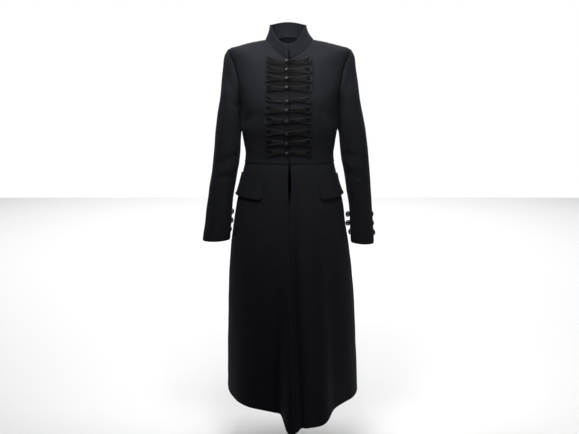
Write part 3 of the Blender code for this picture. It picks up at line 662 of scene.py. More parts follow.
def make_button_finish():
    """Dark horn-like finish, polished, with faint clouds."""
    material = new_material("button_horn", 0.46)
    shader = shader_of(material)
    shader.inputs["Specular IOR Level"].default_value = 0.11
    place = add_node(material, "ShaderNodeTexCoord")
    clouds = add_node(material, "ShaderNodeTexNoise", Scale=420.0, Detail=3.0)
    material.node_tree.links.new(place.outputs["Object"], clouds.inputs["Vector"])
    tint_between(material, (0.006, 0.006, 0.008, 1), (0.016, 0.016, 0.019, 1), clouds.outputs["Fac"])
    return material


WOOL = make_wool()
BRAID = make_braid()
HORN = make_button_finish()
print("finishes:", WOOL.name, BRAID.name, HORN.name)

# %% [markdown]
# ## Skirt and bodice
# Eight panels make the body: front and back, right and left, above and below the waist seam. Each is laid on
# the form between its two edge angles. The grid's rows are finer where an edge turns quickly, as an armhole
# does near the shoulder tip and under the arm. Just under the arm the body and the sleeve are pressed
# together to close the gap there, and the sleeve goes through the whole thickness of the bodice's cloth.

# %% Body panels
GRAIN = 0.0045
WIDTH_ROWS = 8
WIDTH_POINTS = 30
SKIRT_ROWS = WAIST + (HEM - WAIST) * spaced(WAIST - HEM, GRAIN)
ARMHOLE_STEPS = 66
HALF_TURNS = np.linspace(math.pi, 0, ARMHOLE_STEPS + 1)
BODICE_ROWS = np.concatenate([
    WAIST + (UNDERARM - WAIST) * spaced(UNDERARM - WAIST, GRAIN),
    [armhole_station(turn) for turn in HALF_TURNS[1:-1]],
    TIP + (NECK - TIP) * spaced(NECK - TIP, GRAIN),
])[::-1]


def declare_sheet(piece, node):
    """Attaches a sheet to the root body and hides the solid it stands for."""
    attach(piece, "root")
    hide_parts(node)


def body_panel(node, side, stations, first_angle, last_angle, creases, rolls, seed):
    """A panel of the body between two angles at each station, with its creases."""
    widths = []
    for station in stations[:: len(stations) // WIDTH_ROWS]:
        ends = np.array([first_angle(station), last_angle(station)])
        edge_points = body_row(side, np.linspace(*ends, WIDTH_POINTS), station)
        widths.append(lengths_along(edge_points[None], 1)[0, -1])
    shares = spaced(float(np.mean(widths)), GRAIN)
    rows = []
    for station in stations:
        start = first_angle(station)
        end = last_angle(station)
        rows.append(body_row(side, start + (end - start) * shares, station))
    base = np.array(rows)
    middles = base * UPRIGHT
    normals = grid_normals(base, middles)
    relief = crease_relief(base[..., 0], base[..., 2], creases)
    relief += unevenness(base, seed, BODY_BUMPS)
    relief += seam_pucker(base, [roll not in (EDGE_ROLL, LAP_ROLL) for roll in rolls], seed)
    relief *= calm_near_lap(base)
    if rolls[3] == WELT_ROLL:
        down = lengths_along(base, 0)
        relief += WELT_HEIGHT * np.exp(-((down[-1:] - down - WELT_UP) / WELT_HALF_WIDTH) ** 2)
    if rolls[0] == LAP_ROLL and side == RIGHT:
        inside = (lengths_along(base, 1) - LAP_FOLD_IN) / LAP_FOLD_HALF_WIDTH
        relief += LAP_FOLD * np.exp(-inside ** 2) * smooth_step(TUCK_FROM, TUCK_TO, base[..., 2])
    relief += touch_under_arm(base)
    relief -= roll_edges(base, rolls)
    points = base + normals * relief[..., None]
    toward = points[len(points) // 2, len(shares) // 2] * LEVEL
    piece = lay_grid("cloth_" + node, points, toward, WOOL)
    # Painted shade round the frogs, kept on the points for the wool's colour.
    worn = piece.data.attributes.new("worn", "FLOAT", "POINT")
    worn.data.foreach_set("value", painted_shade_share(base).reshape(-1).astype(np.float32))
    thicken(piece, BODY_CLOTH)
    declare_sheet(piece, node)
    return piece


# Where the frogs' painted shade lies on the fronts, and how dark it is above and below the change.
PAINTED_SHADE_HALF_WIDTH = 0.074
PAINTED_SHADE_UPPER = 0.62
PAINTED_SHADE_LOWER = 0.14
PAINTED_SHADE_TOP = -0.062
PAINTED_SHADE_CHANGE = -0.180
PAINTED_SHADE_END = -0.365
PAINTED_SHADE_EDGE = 0.008
PAINTED_SHADE_BLUR = 0.010
PAINTED_SHADE_FADE = 0.030


def painted_shade_share(points):
    """Painted shade round the frogs, standing in for the shadow their cords throw, most on the chest: 0
    elsewhere.
    """
    x = np.abs(points[..., 0])
    z = points[..., 2]
    beside = smooth_step(PAINTED_SHADE_HALF_WIDTH + PAINTED_SHADE_EDGE, PAINTED_SHADE_HALF_WIDTH - PAINTED_SHADE_BLUR, x) * (points[..., 1] < 0)
    upper = smooth_step(PAINTED_SHADE_TOP + PAINTED_SHADE_EDGE, PAINTED_SHADE_TOP - PAINTED_SHADE_EDGE, z)
    change = smooth_step(PAINTED_SHADE_CHANGE + PAINTED_SHADE_FADE, PAINTED_SHADE_CHANGE - PAINTED_SHADE_BLUR, z)
    lower = smooth_step(PAINTED_SHADE_END - PAINTED_SHADE_BLUR, PAINTED_SHADE_END + PAINTED_SHADE_BLUR, z)
    return beside * upper * lower * (PAINTED_SHADE_UPPER + (PAINTED_SHADE_LOWER - PAINTED_SHADE_UPPER) * change)


LAP_CALM = 0.030
LAP_STILL = 0.006
TOUCH_FAR = 0.060
TOUCH_NEAR = 0.015


def touch_band(points, none, whole):
    """1 over the heights of the touch and 0 beyond: none and whole are shares of its half height."""
    middle = (ARM_TOUCH_TOP + ARM_TOUCH_LOW) / 2
    spread = (ARM_TOUCH_TOP - ARM_TOUCH_LOW) / 2
    return smooth_step(none * spread, whole * spread, np.abs(points[..., 2] - middle))


def touch_under_arm(points):
    """Presses the side of the body out to the sleeve just under the arm: 0 elsewhere."""
    beside = smooth_step(TOUCH_FAR, TOUCH_NEAR, np.abs(points[..., 1]))
    return ARM_TOUCH * beside * touch_band(points, 1.25, 0.7) * (points[..., 2] > WAIST)


def calm_near_lap(points):
    """Keeps the two fronts from pushing through each other where they lap: 0 at the edges, 1 further out."""
    front = points[..., 1] < 0
    away = smooth_step(LAP_STILL, LAP_CALM, np.abs(points[..., 0]))
    return np.where(front & (points[..., 2] < TUCK_FROM), away, 1)


panels = {}
for side in (RIGHT, LEFT):
    name = SIDE_NAMES[side]
    panels["skirt_front", side] = body_panel(
        "skirt_front_" + name, side, SKIRT_ROWS,
        lambda s: edge_angle(side, s), lambda s: side_angle(s, True),
        FRONT_CREASES[side], (LAP_ROLL, SEAM_ROLL, UNDER_WELT_ROLL, EDGE_ROLL), 3 + side)
    panels["skirt_back", side] = body_panel(
        "skirt_back_" + name, side, SKIRT_ROWS,
        lambda s: side_angle(s, False), back_edge_angle,
        BACK_CREASES[side], (SEAM_ROLL, SEAM_ROLL, UNDER_WELT_ROLL, EDGE_ROLL), 9 + side)
    panels["bodice_front", side] = body_panel(
        "bodice_front_" + name, side, BODICE_ROWS,
        lambda s: edge_angle(side, s), lambda s: side_angle(s, True),
        FRONT_CREASES[side], (EDGE_ROLL, ARM_ROLL, ARM_ROLL, WELT_ROLL), 15 + side)
    panels["bodice_back", side] = body_panel(
        "bodice_back_" + name, side, BODICE_ROWS,
        lambda s: side_angle(s, False), back_edge_angle,
        BACK_CREASES[side], (ARM_ROLL, SEAM_ROLL, ARM_ROLL, WELT_ROLL), 21 + side)

# %% [markdown]
# ## Sleeves
# A tailored sleeve has an upper and an under piece and bends forward at the elbow. Its rings follow the arm,
# and its first centimetres blend from the armhole seam to the arm's own oval, which gives the sleeve head.
# Cloth gathers where the arm bends, so short ridges and troughs cross the inner elbow and the head.

# %% Sleeve form and panels
ARM_COLUMNS = "down outer_z inner_z right_outer right_inner left_outer left_inner middle_y half_depth"
Arm = namedtuple("Arm", ARM_COLUMNS)
ARM_RINGS = [
    Arm(0.000, -0.027, -0.225, 0.1975, 0.1585, 0.1975, 0.1585, -0.004, 0.062),
    Arm(0.025, -0.045, -0.233, 0.2080, 0.1608, 0.2080, 0.1608, -0.004, 0.064),
    Arm(0.063, -0.084, -0.243, 0.2145, 0.1614, 0.2145, 0.1616, -0.003, 0.066),
    Arm(0.107, -0.127, -0.255, 0.2205, 0.1618, 0.2212, 0.1622, -0.003, 0.067),
    Arm(0.162, -0.184, -0.272, 0.2270, 0.1622, 0.2300, 0.1635, -0.002, 0.067),
    Arm(0.220, -0.242, -0.297, 0.2375, 0.1630, 0.2415, 0.1665, 0.000, 0.066),
    Arm(0.280, -0.302, -0.333, 0.2450, 0.1655, 0.2530, 0.1705, 0.002, 0.064),
    Arm(0.340, -0.362, -0.378, 0.2510, 0.1690, 0.2615, 0.1760, 0.004, 0.062),
    Arm(0.403, -0.425, -0.432, 0.2590, 0.1780, 0.2670, 0.1870, 0.004, 0.059),
    Arm(0.461, -0.483, -0.486, 0.2685, 0.1885, 0.2715, 0.1945, 0.000, 0.056),
    Arm(0.523, -0.545, -0.546, 0.2770, 0.1955, 0.2760, 0.2040, -0.008, 0.052),
    Arm(0.578, -0.600, -0.600, 0.2840, 0.1990, 0.2800, 0.2065, -0.018, 0.048),
    Arm(0.641, -0.664, -0.661, 0.2925, 0.2040, 0.2830, 0.2085, -0.030, 0.045),
]
ARM_CURVES = curves_of(ARM_RINGS)
CUFF = 0.641
CUFF_RAISED = {RIGHT: 0.0085, LEFT: 0.0}
CUFF_RADIUS = 0.045
SLEEVE_HEAD = 0.120
FRONT_SLEEVE_SEAM = math.radians(108)
BACK_SLEEVE_SEAM = math.radians(288)


def arm_at(column, down):
    """One column of the sleeves' table, read at a distance down."""
    return read_curve(ARM_CURVES[column], down)


def cuff_of(side):
    """How far down a sleeve ends."""
    return CUFF - CUFF_RAISED[side]


def arm_middle(side, down):
    """The arm's centre at a distance down the sleeve."""
    name = SIDE_NAMES[side]
    across = (arm_at(name + "_outer", down) + arm_at(name + "_inner", down)) / 2
    height = (arm_at("outer_z", down) + arm_at("inner_z", down)) / 2
    return np.array([side * across, arm_at("middle_y", down), height])


def oval_row(side, turns, down):
    """Points of the plain oval round the arm."""
    name = SIDE_NAMES[side]
    across = side * arm_at(name + "_outer", down)
    outer = np.array([across, arm_at("middle_y", down), arm_at("outer_z", down)])
    to_outer = outer - arm_middle(side, down)
    forward = np.array([0, -arm_at("half_depth", down), 0])
    return arm_middle(side, down) + np.cos(turns)[:, None] * to_outer + np.sin(turns)[:, None] * forward


def sleeve_row(side, turns, down):
    """Points of a sleeve's outer face at a distance down, at turns round it as on the armhole."""
    points = oval_row(side, turns, down)
    if down < SLEEVE_HEAD:
        seam = np.array([armhole_point(side, turn) for turn in turns])
        points += (seam - oval_row(side, turns, 0)) * smooth_step(SLEEVE_HEAD, 0, down)
    return points


Bend = namedtuple("Bend", "turn0 down0 turn1 down1 half_width height")
SLEEVE_BENDS = {
    RIGHT: [
        Bend(150, 0.330, 60, 0.372, 0.012, -0.0030),
        Bend(170, 0.372, 70, 0.398, 0.010, 0.0022),
        Bend(165, 0.410, 85, 0.420, 0.011, -0.0026),
        Bend(120, 0.070, 75, 0.150, 0.014, -0.0026),
        Bend(100, 0.060, 40, 0.170, 0.018, 0.0016),
        Bend(230, 0.300, 270, 0.430, 0.020, 0.0020),
        Bend(60, 0.470, 30, 0.600, 0.016, -0.0016),
        Bend(148, 0.090, 146, 0.215, 0.011, -0.0040),
    ],
    LEFT: [
        Bend(155, 0.322, 70, 0.350, 0.012, -0.0030),
        Bend(165, 0.356, 75, 0.388, 0.010, 0.0022),
        Bend(160, 0.398, 80, 0.418, 0.011, -0.0026),
        Bend(122, 0.066, 78, 0.140, 0.014, -0.0026),
        Bend(98, 0.070, 44, 0.160, 0.018, 0.0016),
        Bend(235, 0.310, 275, 0.440, 0.020, 0.0020),
        Bend(55, 0.480, 34, 0.590, 0.016, -0.0016),
        Bend(150, 0.085, 146, 0.200, 0.011, -0.0040),
    ],
}
BEND_RADIUS = 0.052
HEAD_STILL = 0.004
HEAD_FREE = 0.030
HEAD_SEWN = 0.012


def touch_on_sleeve(points, turns):
    """The same touch on the inner side of the sleeve."""
    inner = np.clip(-np.cos(turns), 0, 1) ** 4
    return ARM_TOUCH * inner * touch_band(points, 1.4, 0.8)


def sleeve_panel(node, side, first_turn, last_turn, seed):
    """One piece of a sleeve, from the armhole seam to the cuff."""
    turns = first_turn + (last_turn - first_turn) * spaced(math.pi * BEND_RADIUS, GRAIN)
    rows = cuff_of(side) * spaced(cuff_of(side), GRAIN)
    base = np.array([sleeve_row(side, turns, down) for down in rows])
    middles = np.array([[arm_middle(side, down)] for down in rows])
    base[..., 1] -= shoulder_pad(base[:1, :, 2], lengths_along(base, 0)) * (np.sin(turns) > 0)
    normals = grid_normals(base, middles)
    bends = [
        Crease(math.radians(b.turn0) * BEND_RADIUS, b.down0, math.radians(b.turn1) * BEND_RADIUS, b.down1,
               b.half_width, b.height)
        for b in SLEEVE_BENDS[side]
    ]
    round_arm = (turns % FULL) * BEND_RADIUS
    down_arm = np.repeat(rows[:, None], len(turns), axis=1)
    relief = crease_relief(np.repeat(round_arm[None], len(rows), axis=0), down_arm, bends)
    relief += unevenness(base, seed, SLEEVE_BUMPS)
    relief += touch_on_sleeve(base, turns)
    relief *= smooth_step(HEAD_STILL, HEAD_FREE, down_arm)
    rolls = (SEAM_ROLL, SEAM_ROLL, ARM_ROLL, EDGE_ROLL)
    relief += seam_pucker(base, (True, True, True, False), seed) * smooth_step(0.0, HEAD_SEWN, down_arm)
    relief -= roll_edges(base, rolls)
    points = base + normals * relief[..., None]
    centre = len(rows) // 2, len(turns) // 2
    toward = points[centre] - middles[centre[0], 0]
    piece = lay_grid("cloth_" + node, points, toward, WOOL)
    thicken(piece, SLEEVE_CLOTH)
    declare_sheet(piece, node)
    return piece


for side in (RIGHT, LEFT):
    name = SIDE_NAMES[side]
    panels["sleeve_upper", side] = sleeve_panel(
        "sleeve_upper_" + name, side, BACK_SLEEVE_SEAM - FULL, FRONT_SLEEVE_SEAM, 27 + side)
    panels["sleeve_under", side] = sleeve_panel(
        "sleeve_under_" + name, side, FRONT_SLEEVE_SEAM, BACK_SLEEVE_SEAM, 33 + side)

# %% [markdown]
# ## Stand collar
# The collar is one strip that stands on the neckline, higher at the back, and its two ends meet at the throat
# over a small gap. It leans toward the neck in a hollow curve. Two layers and an interlining make it the
# stiffest and thickest piece, so it has hardly a crease.

# %% Collar
COLLAR_TOP = Ring(1, 0.052, -0.013, 0.066, 0.0600, 0.071, 0.060, 2.0, -0.005)
COLLAR_CURVE = 1.8
COLLAR_HEIGHT = 0.058
COLLAR_SUNK = 0.0012
COLLAR_ROLL = 0.0016
COLLAR_GRAIN = 0.0035
COLLAR_HALF_LENGTH = 0.23
COLLAR_SEED = 40
COLLAR_PUCKER_SEED = 4


def collar_rows(heights, half_columns):
    """Points of the collar's outer face from the neckline up."""
    low_ring = ring_at(NECK)
    rows = []
    for height in heights:
        z_front = low_ring.z_front + height * (COLLAR_TOP.z_front - low_ring.z_front)
        halves = []
        for side in (RIGHT, LEFT):
            start = math.asin(abs(edge_place(side, z_front)) / COLLAR_TOP.front)
            angles = start + (math.pi - start) * half_columns
            low, _ = points_on_ring(low_ring, side, angles)
            high, _ = points_on_ring(COLLAR_TOP, side, angles)
            lean = 1 - max(1 - height, 0) ** COLLAR_CURVE
            points = low + (high - low) * lean
            points[:, 2] = low[:, 2] + (high[:, 2] - low[:, 2]) * height
            halves.append(points)
        rows.append(np.concatenate([halves[0], halves[1][-2::-1]]))
    return np.array(rows)


def make_collar():
    heights = spaced(COLLAR_HEIGHT, COLLAR_GRAIN)
    half = spaced(COLLAR_HALF_LENGTH, COLLAR_GRAIN)
    half = np.concatenate([half[:-4], [1.0]])
    base = collar_rows(heights, half)
    normals = grid_normals(base, base * UPRIGHT)
    base[0, :, 2] -= COLLAR_SUNK
    relief = unevenness(base, COLLAR_SEED, COLLAR_BUMPS)
    relief += seam_pucker(base, (False, False, True, False), COLLAR_PUCKER_SEED)
    relief -= roll_edges(base, (EDGE_ROLL, EDGE_ROLL, COLLAR_ROLL, EDGE_ROLL))
    points = base + normals * relief[..., None]
    middle = points[len(heights) // 2, len(points[0]) // 2]
    piece = lay_grid("cloth_stand_collar", points, middle * LEVEL, WOOL)
    thicken(piece, COLLAR_CLOTH)
    declare_sheet(piece, "stand_collar")
    return piece


panels["collar"] = make_collar()

# %% [markdown]
# ## Pocket flaps
# Each flap hangs from a slanted pocket mouth on the hip. Its top edge lies against the skirt and its free
# lower edge stands off it, most at the back corner, so it throws the small dark shadow that makes it read.

# %% Pocket flaps
Flap = namedtuple("Flap", "side front_x front_top back_top front_low back_low back_angle")
FLAPS = [
    Flap(RIGHT, 0.0880, -0.4480, -0.4300, -0.5110, -0.5030, math.radians(94)),
    Flap(LEFT, 0.0930, -0.4480, -0.4320, -0.5110, -0.5000, math.radians(94)),
]
FLAP_CORNER = 0.013
FLAP_SLANT = 0.007
FLAP_TOP_GAP = 0.0014
FLAP_LOW_GAP = 0.0030
FLAP_BACK_GAP = 0.0035
FLAP_RADIUS = 0.14
FLAP_GRAIN = 0.003
FLAP_DEPTH = 0.066
FLAP_WIDTH = 0.085
FLAP_CROWDING = 1.15
FLAP_LIFT_POWER = 1.5
FLAP_BACK_POWER = 3
FLAP_ROLL_SHARE = 0.4
FLAP_SEED = 50
SEARCH_ANGLES = 400


def angle_on_skirt(station, across):
    """The angle of the skirt's point that lies this far from the middle."""
    angles = np.linspace(0, QUARTER, SEARCH_ANGLES)
    ring = ring_at(station)
    points, _ = points_on_ring(ring, LEFT, angles)
    return float(np.interp(across, points[:, 0] - ring.shift, angles))


def flap_point(flap, share_down, share_across):
    """A point of a flap and how far it stands off the skirt. share_down is 0 at its top edge."""
    top = flap.front_top + (flap.back_top - flap.front_top) * share_across
    low = flap.front_low + (flap.back_low - flap.front_low) * share_across
    z = top + (low - top) * share_down
    above = max(z - low, 0)
    inset = 0
    if above < FLAP_CORNER:
        inset = FLAP_CORNER * (1 - math.sqrt(1 - (1 - above / FLAP_CORNER) ** 2))
    slant = FLAP_SLANT * share_down if flap.side == LEFT else 0
    start = angle_on_skirt(z, flap.front_x + slant)
    squeeze = inset / FLAP_RADIUS
    angle = start + squeeze + (flap.back_angle - start - 2 * squeeze) * share_across
    low_gap = FLAP_LOW_GAP + FLAP_BACK_GAP * share_across ** FLAP_BACK_POWER
    gap = FLAP_TOP_GAP + low_gap * share_down ** FLAP_LIFT_POWER
    return body_row(flap.side, np.array([angle]), z)[0], gap


def make_flap(flap):
    node = "pocket_flap_" + SIDE_NAMES[flap.side]
    down = 1 - (1 - spaced(FLAP_DEPTH, FLAP_GRAIN)) ** FLAP_CROWDING
    across = spaced(FLAP_WIDTH, FLAP_GRAIN)
    made = [[flap_point(flap, d, a) for a in across] for d in down]
    base = np.array([[point for point, gap in row] for row in made])
    gaps = np.array([[gap for point, gap in row] for row in made])
    normals = grid_normals(base, base * UPRIGHT)
    relief = gaps + FLAP_CLOTH + unevenness(base, FLAP_SEED, FLAP_BUMPS)
    relief -= FLAP_ROLL_SHARE * roll_edges(base, (EDGE_ROLL, EDGE_ROLL, 0, EDGE_ROLL))
    points = base + normals * relief[..., None]
    middle = points[len(down) // 2, len(across) // 2]
    piece = lay_grid("cloth_" + node, points, middle * LEVEL, WOOL)
    thicken(piece, FLAP_CLOTH)
    declare_sheet(piece, node)
    return piece


for flap in FLAPS:
    panels["flap", flap.side] = make_flap(flap)

# %% [markdown]
# ## Frogs
# A frog is a fastening made of cord: on each front a flat, narrow loop of several parallel cords whose outer
# end is curled wide. The half on the wearer's left ends in a small eye that passes round the button on the
# right half. Ten rows were sewn by hand, so each row sags, lifts and opens a little differently. The cord
# lies on the cloth: each of its points is dropped on the front panels from straight ahead.

# %% Where the cords run
FrogRow = namedtuple("FrogRow", "z right_lift left_lift right_sag left_sag")
FROG_ROWS = [
    FrogRow(-0.0700, 0.0070, 0.0060, 0.0020, 0.0000),
    FrogRow(-0.0977, 0.0060, 0.0025, 0.0010, 0.0000),
    FrogRow(-0.1247, 0.0020, 0.0005, -0.0010, -0.0005),
    FrogRow(-0.1530, 0.0000, -0.0010, 0.0020, 0.0015),
    FrogRow(-0.1955, 0.0120, 0.0030, 0.0000, -0.0040),
    FrogRow(-0.2225, 0.0040, 0.0010, 0.0010, -0.0010),
    FrogRow(-0.2555, 0.0020, 0.0010, 0.0000, -0.0015),
    FrogRow(-0.2950, 0.0030, 0.0010, -0.0050, -0.0040),
    FrogRow(-0.3260, 0.0010, 0.0015, -0.0020, -0.0030),
    FrogRow(-0.3585, 0.0010, -0.0010, -0.0030, -0.0010),
]
Cord = namedtuple("Cord", "out up half_width")
LOOP_RUN = [
    Cord(-0.0139, 0.0000, 0.0017),
    Cord(-0.0118, 0.0034, 0.0017),
    Cord(-0.0060, 0.0042, 0.0018),
    Cord(0.0050, 0.0040, 0.0024),
    Cord(0.0195, 0.0042, 0.0030),
    Cord(0.0350, 0.0050, 0.0032),
    Cord(0.0470, 0.0062, 0.0032),
    Cord(0.0545, 0.0086, 0.0028),
    Cord(0.0612, 0.0098, 0.0028),
    Cord(0.0665, 0.0070, 0.0028),
    Cord(0.0684, 0.0000, 0.0028),
]
BUTTON_RUN = [
    Cord(0.0190, 0.0000, 0.0024),
    Cord(0.0220, 0.0040, 0.0028),
    Cord(0.0390, 0.0050, 0.0032),
    Cord(0.0530, 0.0062, 0.0032),
    Cord(0.0608, 0.0086, 0.0028),
    Cord(0.0677, 0.0098, 0.0028),
    Cord(0.0732, 0.0070, 0.0028),
    Cord(0.0752, 0.0000, 0.0028),
]


def both_ways(half):
    """A run through its middle to both ends, from the rows of one half."""
    return [Cord(-c.out, c.up, c.half_width) for c in reversed(half) if c.out] + half


CUFF_RUN = both_ways([
    Cord(0.0000, 0.0048, 0.0024),
    Cord(0.0170, 0.0042, 0.0026),
    Cord(0.0340, 0.0042, 0.0026),
    Cord(0.0500, 0.0047, 0.0026),
    Cord(0.0610, 0.0070, 0.0025),
    Cord(0.0690, 0.0064, 0.0024),
    Cord(0.0730, 0.0000, 0.0024),
])
CuffFrog = namedtuple("CuffFrog", "rise inner_reach outer_reach")
CUFF_FROGS = {
    RIGHT: [
        CuffFrog(0.029, 0.0010, 0.0020),
        CuffFrog(0.060, 0.0040, -0.0020),
        CuffFrog(0.090, 0.0045, -0.0020),
    ],
    LEFT: [
        CuffFrog(0.029, 0.0040, 0.0075),
        CuffFrog(0.060, 0.0125, 0.0050),
        CuffFrog(0.090, 0.0115, 0.0055),
    ],
}
CUFF_CORE_RUN = both_ways([
    Cord(0.0500, 0.0015, 0.0018),
    Cord(0.0640, 0.0022, 0.0026),
    Cord(0.0686, 0.0000, 0.0024),
])
CUFF_LEAVE = math.radians(35)
CUFF_LEAVE_OUT = CUFF_LEAVE * CUFF_RADIUS
CORE_RUN = [
    Cord(0.0165, 0.0000, 0.0011),
    Cord(0.0200, 0.0011, 0.0011),
    Cord(0.0360, 0.0013, 0.0012),
    Cord(0.0520, 0.0017, 0.0012),
    Cord(0.0580, 0.0000, 0.0011),
]
STRANDS = 3
STRAND_SPREAD = 0.66
STRAND_RADIUS = 0.42
STRAND_STEP = 0.0016
STRAND_GAP = 0.0003
STRAND_SIDES = 8
STRAND_LOBE = 0.10
STRAND_WANDER = 0.00035
WANDER_SCALE = 90
WANDER_STEP = 3.1
ROUND_TIMES = 3
CURVE_STEPS = 12
LEAST_STEPS = 24
BAND_RISE = 0.0014
CURL_POWER = 3
RUN_SPREADS = {(RIGHT, 5): 0.70, (RIGHT, 6): 1.10, (RIGHT, 7): 1.14, (LEFT, 5): 0.92, (LEFT, 8): 1.08}


def closed_run(run):
    """A closed route out along the upper run and back along the lower one."""
    return run + [Cord(c.out, -c.up, c.half_width) for c in reversed(run[1:-1])]


def smooth_loop(values, step):
    """A closed curve through rows of numbers, read at even steps of its first two."""
    values = np.array(values)
    count = len(values)
    fine = []
    for i in range(count):
        a, b, c, d = (values[(i + k) % count] for k in (-1, 0, 1, 2))
        for t in np.linspace(0, 1, CURVE_STEPS, endpoint=False):
            fine.append(0.5 * (2 * b + (c - a) * t + (2 * a - 5 * b + 4 * c - d) * t ** 2
                               + (3 * b - a - 3 * c + d) * t ** 3))
    fine = np.array(fine + [fine[0]])
    along = np.concatenate([[0], np.cumsum(np.linalg.norm(np.diff(fine[:, :2], axis=0), axis=1))])
    places = np.linspace(0, along[-1], max(int(along[-1] / step), LEAST_STEPS), endpoint=False)
    return np.stack([np.interp(places, along, fine[:, k]) for k in range(fine.shape[1])], axis=-1)


def tree_of(pieces):
    """A search tree over the faces of several pieces."""
    points = []
    faces = []
    for piece in pieces:
        start = len(points)
        points += [v.co.copy() for v in piece.data.vertices]
        faces += [tuple(start + k for k in face.vertices) for face in piece.data.polygons]
    return BVHTree.FromPolygons(points, faces)


FRONT_TREE = tree_of([panels["bodice_front", RIGHT], panels["bodice_front", LEFT]])


SEARCH_FROM_Y = -1
CHEST_Y = -0.125
FACES_FRONT = -0.5


def cloth_under(x, z):
    """The front cloth's point and normal behind a place seen from the front."""
    place, normal, _, _ = FRONT_TREE.ray_cast(Vector((x, SEARCH_FROM_Y, z)), Vector((0, 1, 0)))
    if place is None or normal.y > FACES_FRONT:
        near = FRONT_TREE.find_nearest(Vector((x, CHEST_Y, z)))[0]
        return np.array([x, near.y, z]), np.array([0, -1.0, 0])
    return np.array(place), np.array(normal)


def smooth_round(values, times):
    """Evens out a closed list of vectors, so that a cord bridges small dips in the cloth."""
    for _ in range(times):
        values = (np.roll(values, 1, axis=0) + 2 * values + np.roll(values, -1, axis=0)) / 4
    return values


def strand_tube(centres, normals, radii, twist):
    """A closed tube of twisted cord round a line: one row of points for each centre, and the first again."""
    count = len(centres)
    along = np.roll(centres, -1, axis=0) - np.roll(centres, 1, axis=0)
    along /= np.linalg.norm(along, axis=1, keepdims=True)
    out = normals - along * np.sum(normals * along, axis=1, keepdims=True)
    out /= np.linalg.norm(out, axis=1, keepdims=True)
    across = np.cross(along, out)
    run = np.concatenate([[0], np.cumsum(np.linalg.norm(np.diff(centres, axis=0), axis=1))])
    rows = []
    for i in list(range(count)) + [0]:
        turns = np.linspace(0, FULL, STRAND_SIDES + 1)
        lobes = 1 + STRAND_LOBE * np.cos(2 * turns + twist * run[i] * FULL / CORD_TWIST / 2)
        sideways = across[i] * (radii[i] * lobes * np.cos(turns))[:, None]
        rows.append(centres[i] + sideways + out[i] * (radii[i] * lobes * np.sin(turns))[:, None])
    return np.array(rows)


print("frog rows:", len(FROG_ROWS))

# %% [markdown]
# ## Cords as tubes
# One cord is a grid rolled into a tube and closed on itself: the first and last rows and columns fall on the
# same points and are merged. Three such cords lie side by side in each frog half, pressed into each other,
# round a fourth one inside. Their spacing wanders by a few tenths of a millimetre, as in a hand-sewn band.

# %% Frog halves


def make_cord_piece(node, strands):
    """Several closed tubes as one piece, in place of a solid."""
    name = "cord_" + node
    parts = []
    for k, rows in enumerate(strands):
        faces_out = rows[0, STRAND_SIDES // 4] - rows[0, 3 * STRAND_SIDES // 4]
        part = lay_grid(f"{name}_{k}", rows, faces_out, BRAID)
        if k % 2:
            for corner in part.data.uv_layers.active.data:
                corner.uv.x = -corner.uv.x
        parts.append(part)
    deselect()
    for part in parts:
        part.select_set(True)
    bpy.context.view_layer.objects.active = parts[0]
    bpy.ops.object.join()
    piece = bpy.context.object
    piece.name = name
    piece.data.name = name
    bpy.ops.object.mode_set(mode="EDIT")
    bpy.ops.mesh.select_all(action="SELECT")
    bpy.ops.mesh.remove_doubles(threshold=1e-6)
    bpy.ops.mesh.normals_make_consistent(inside=False)
    bpy.ops.object.mode_set(mode="OBJECT")
    bpy.ops.object.shade_smooth()
    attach(piece, "root")
    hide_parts(node)
    return piece


def band_of(route, place_on_cloth, seed, strand_count=STRANDS):
    """The strands of a band of cord that follows a route, each dropped on the cloth."""
    loop = smooth_loop([(c.out, c.up, c.half_width) for c in route], STRAND_STEP)
    share_of_width = STRAND_RADIUS if strand_count > 1 else 1
    ahead = np.roll(loop, -1, axis=0)[:, :2] - np.roll(loop, 1, axis=0)[:, :2]
    ahead /= np.linalg.norm(ahead, axis=1, keepdims=True)
    sideways = np.stack([ahead[:, 1], -ahead[:, 0]], axis=-1)
    strands = []
    for k in range(strand_count):
        share = (k - (strand_count - 1) / 2) * STRAND_SPREAD
        wander = np.array([
            STRAND_WANDER * noise.noise(Vector((x * WANDER_SCALE, z * WANDER_SCALE, seed + WANDER_STEP * k)))
            for x, z in loop[:, :2]
        ])
        middle = loop[:, :2] + sideways * (share * loop[:, 2] + wander)[:, None]
        radii = loop[:, 2] * share_of_width
        placed = [place_on_cloth(out, up) for out, up in middle]
        points = smooth_round(np.array([p for p, n in placed]), ROUND_TIMES)
        normals = smooth_round(np.array([n for p, n in placed]), ROUND_TIMES)
        rise = 0 if abs(share) > 0 else BAND_RISE
        centres = points + normals * (radii + STRAND_GAP + rise)[:, None]
        strands.append(strand_tube(centres, normals, radii, -1 if k % 2 else 1))
    return strands


def make_frog(side, number, row):
    """One half of a frog."""
    lift = row.right_lift if side == RIGHT else row.left_lift
    sag = row.right_sag if side == RIGHT else row.left_sag
    spread = RUN_SPREADS.get((side, number), 1)

    def place(out, up):
        far = max(out, 0) / BUTTON_RUN[-1].out
        height = row.z + up * spread + lift * far ** CURL_POWER - sag * math.sin(math.pi * min(far, 1))
        return cloth_under(side * out, height)

    node = f"frog_{SIDE_NAMES[side]}_{number:02d}"
    route = closed_run(BUTTON_RUN if side == RIGHT else LOOP_RUN)
    seed = number + 20 * side
    strands = band_of(route, place, seed) + band_of(closed_run(CORE_RUN), place, seed, 1)
    return make_cord_piece(node, strands)


for number, row in enumerate(FROG_ROWS, 1):
    for side in (RIGHT, LEFT):
        made = make_frog(side, number, row)
print("last frog half:", made.name, len(made.data.polygons), "faces")

# %% [markdown]
# ## Cuff frogs
# Three more frogs lie across the back of each cuff. Only their middles are sewn down: 35 degrees to either
# side the cord leaves the sleeve and goes straight on, so that the stiff loops show past its edges from the
# front, each by its own length.

# %% Cuff frogs
SLOPE_STEP = 1e-4
SLEEVE_STANDOFF = 0.0012


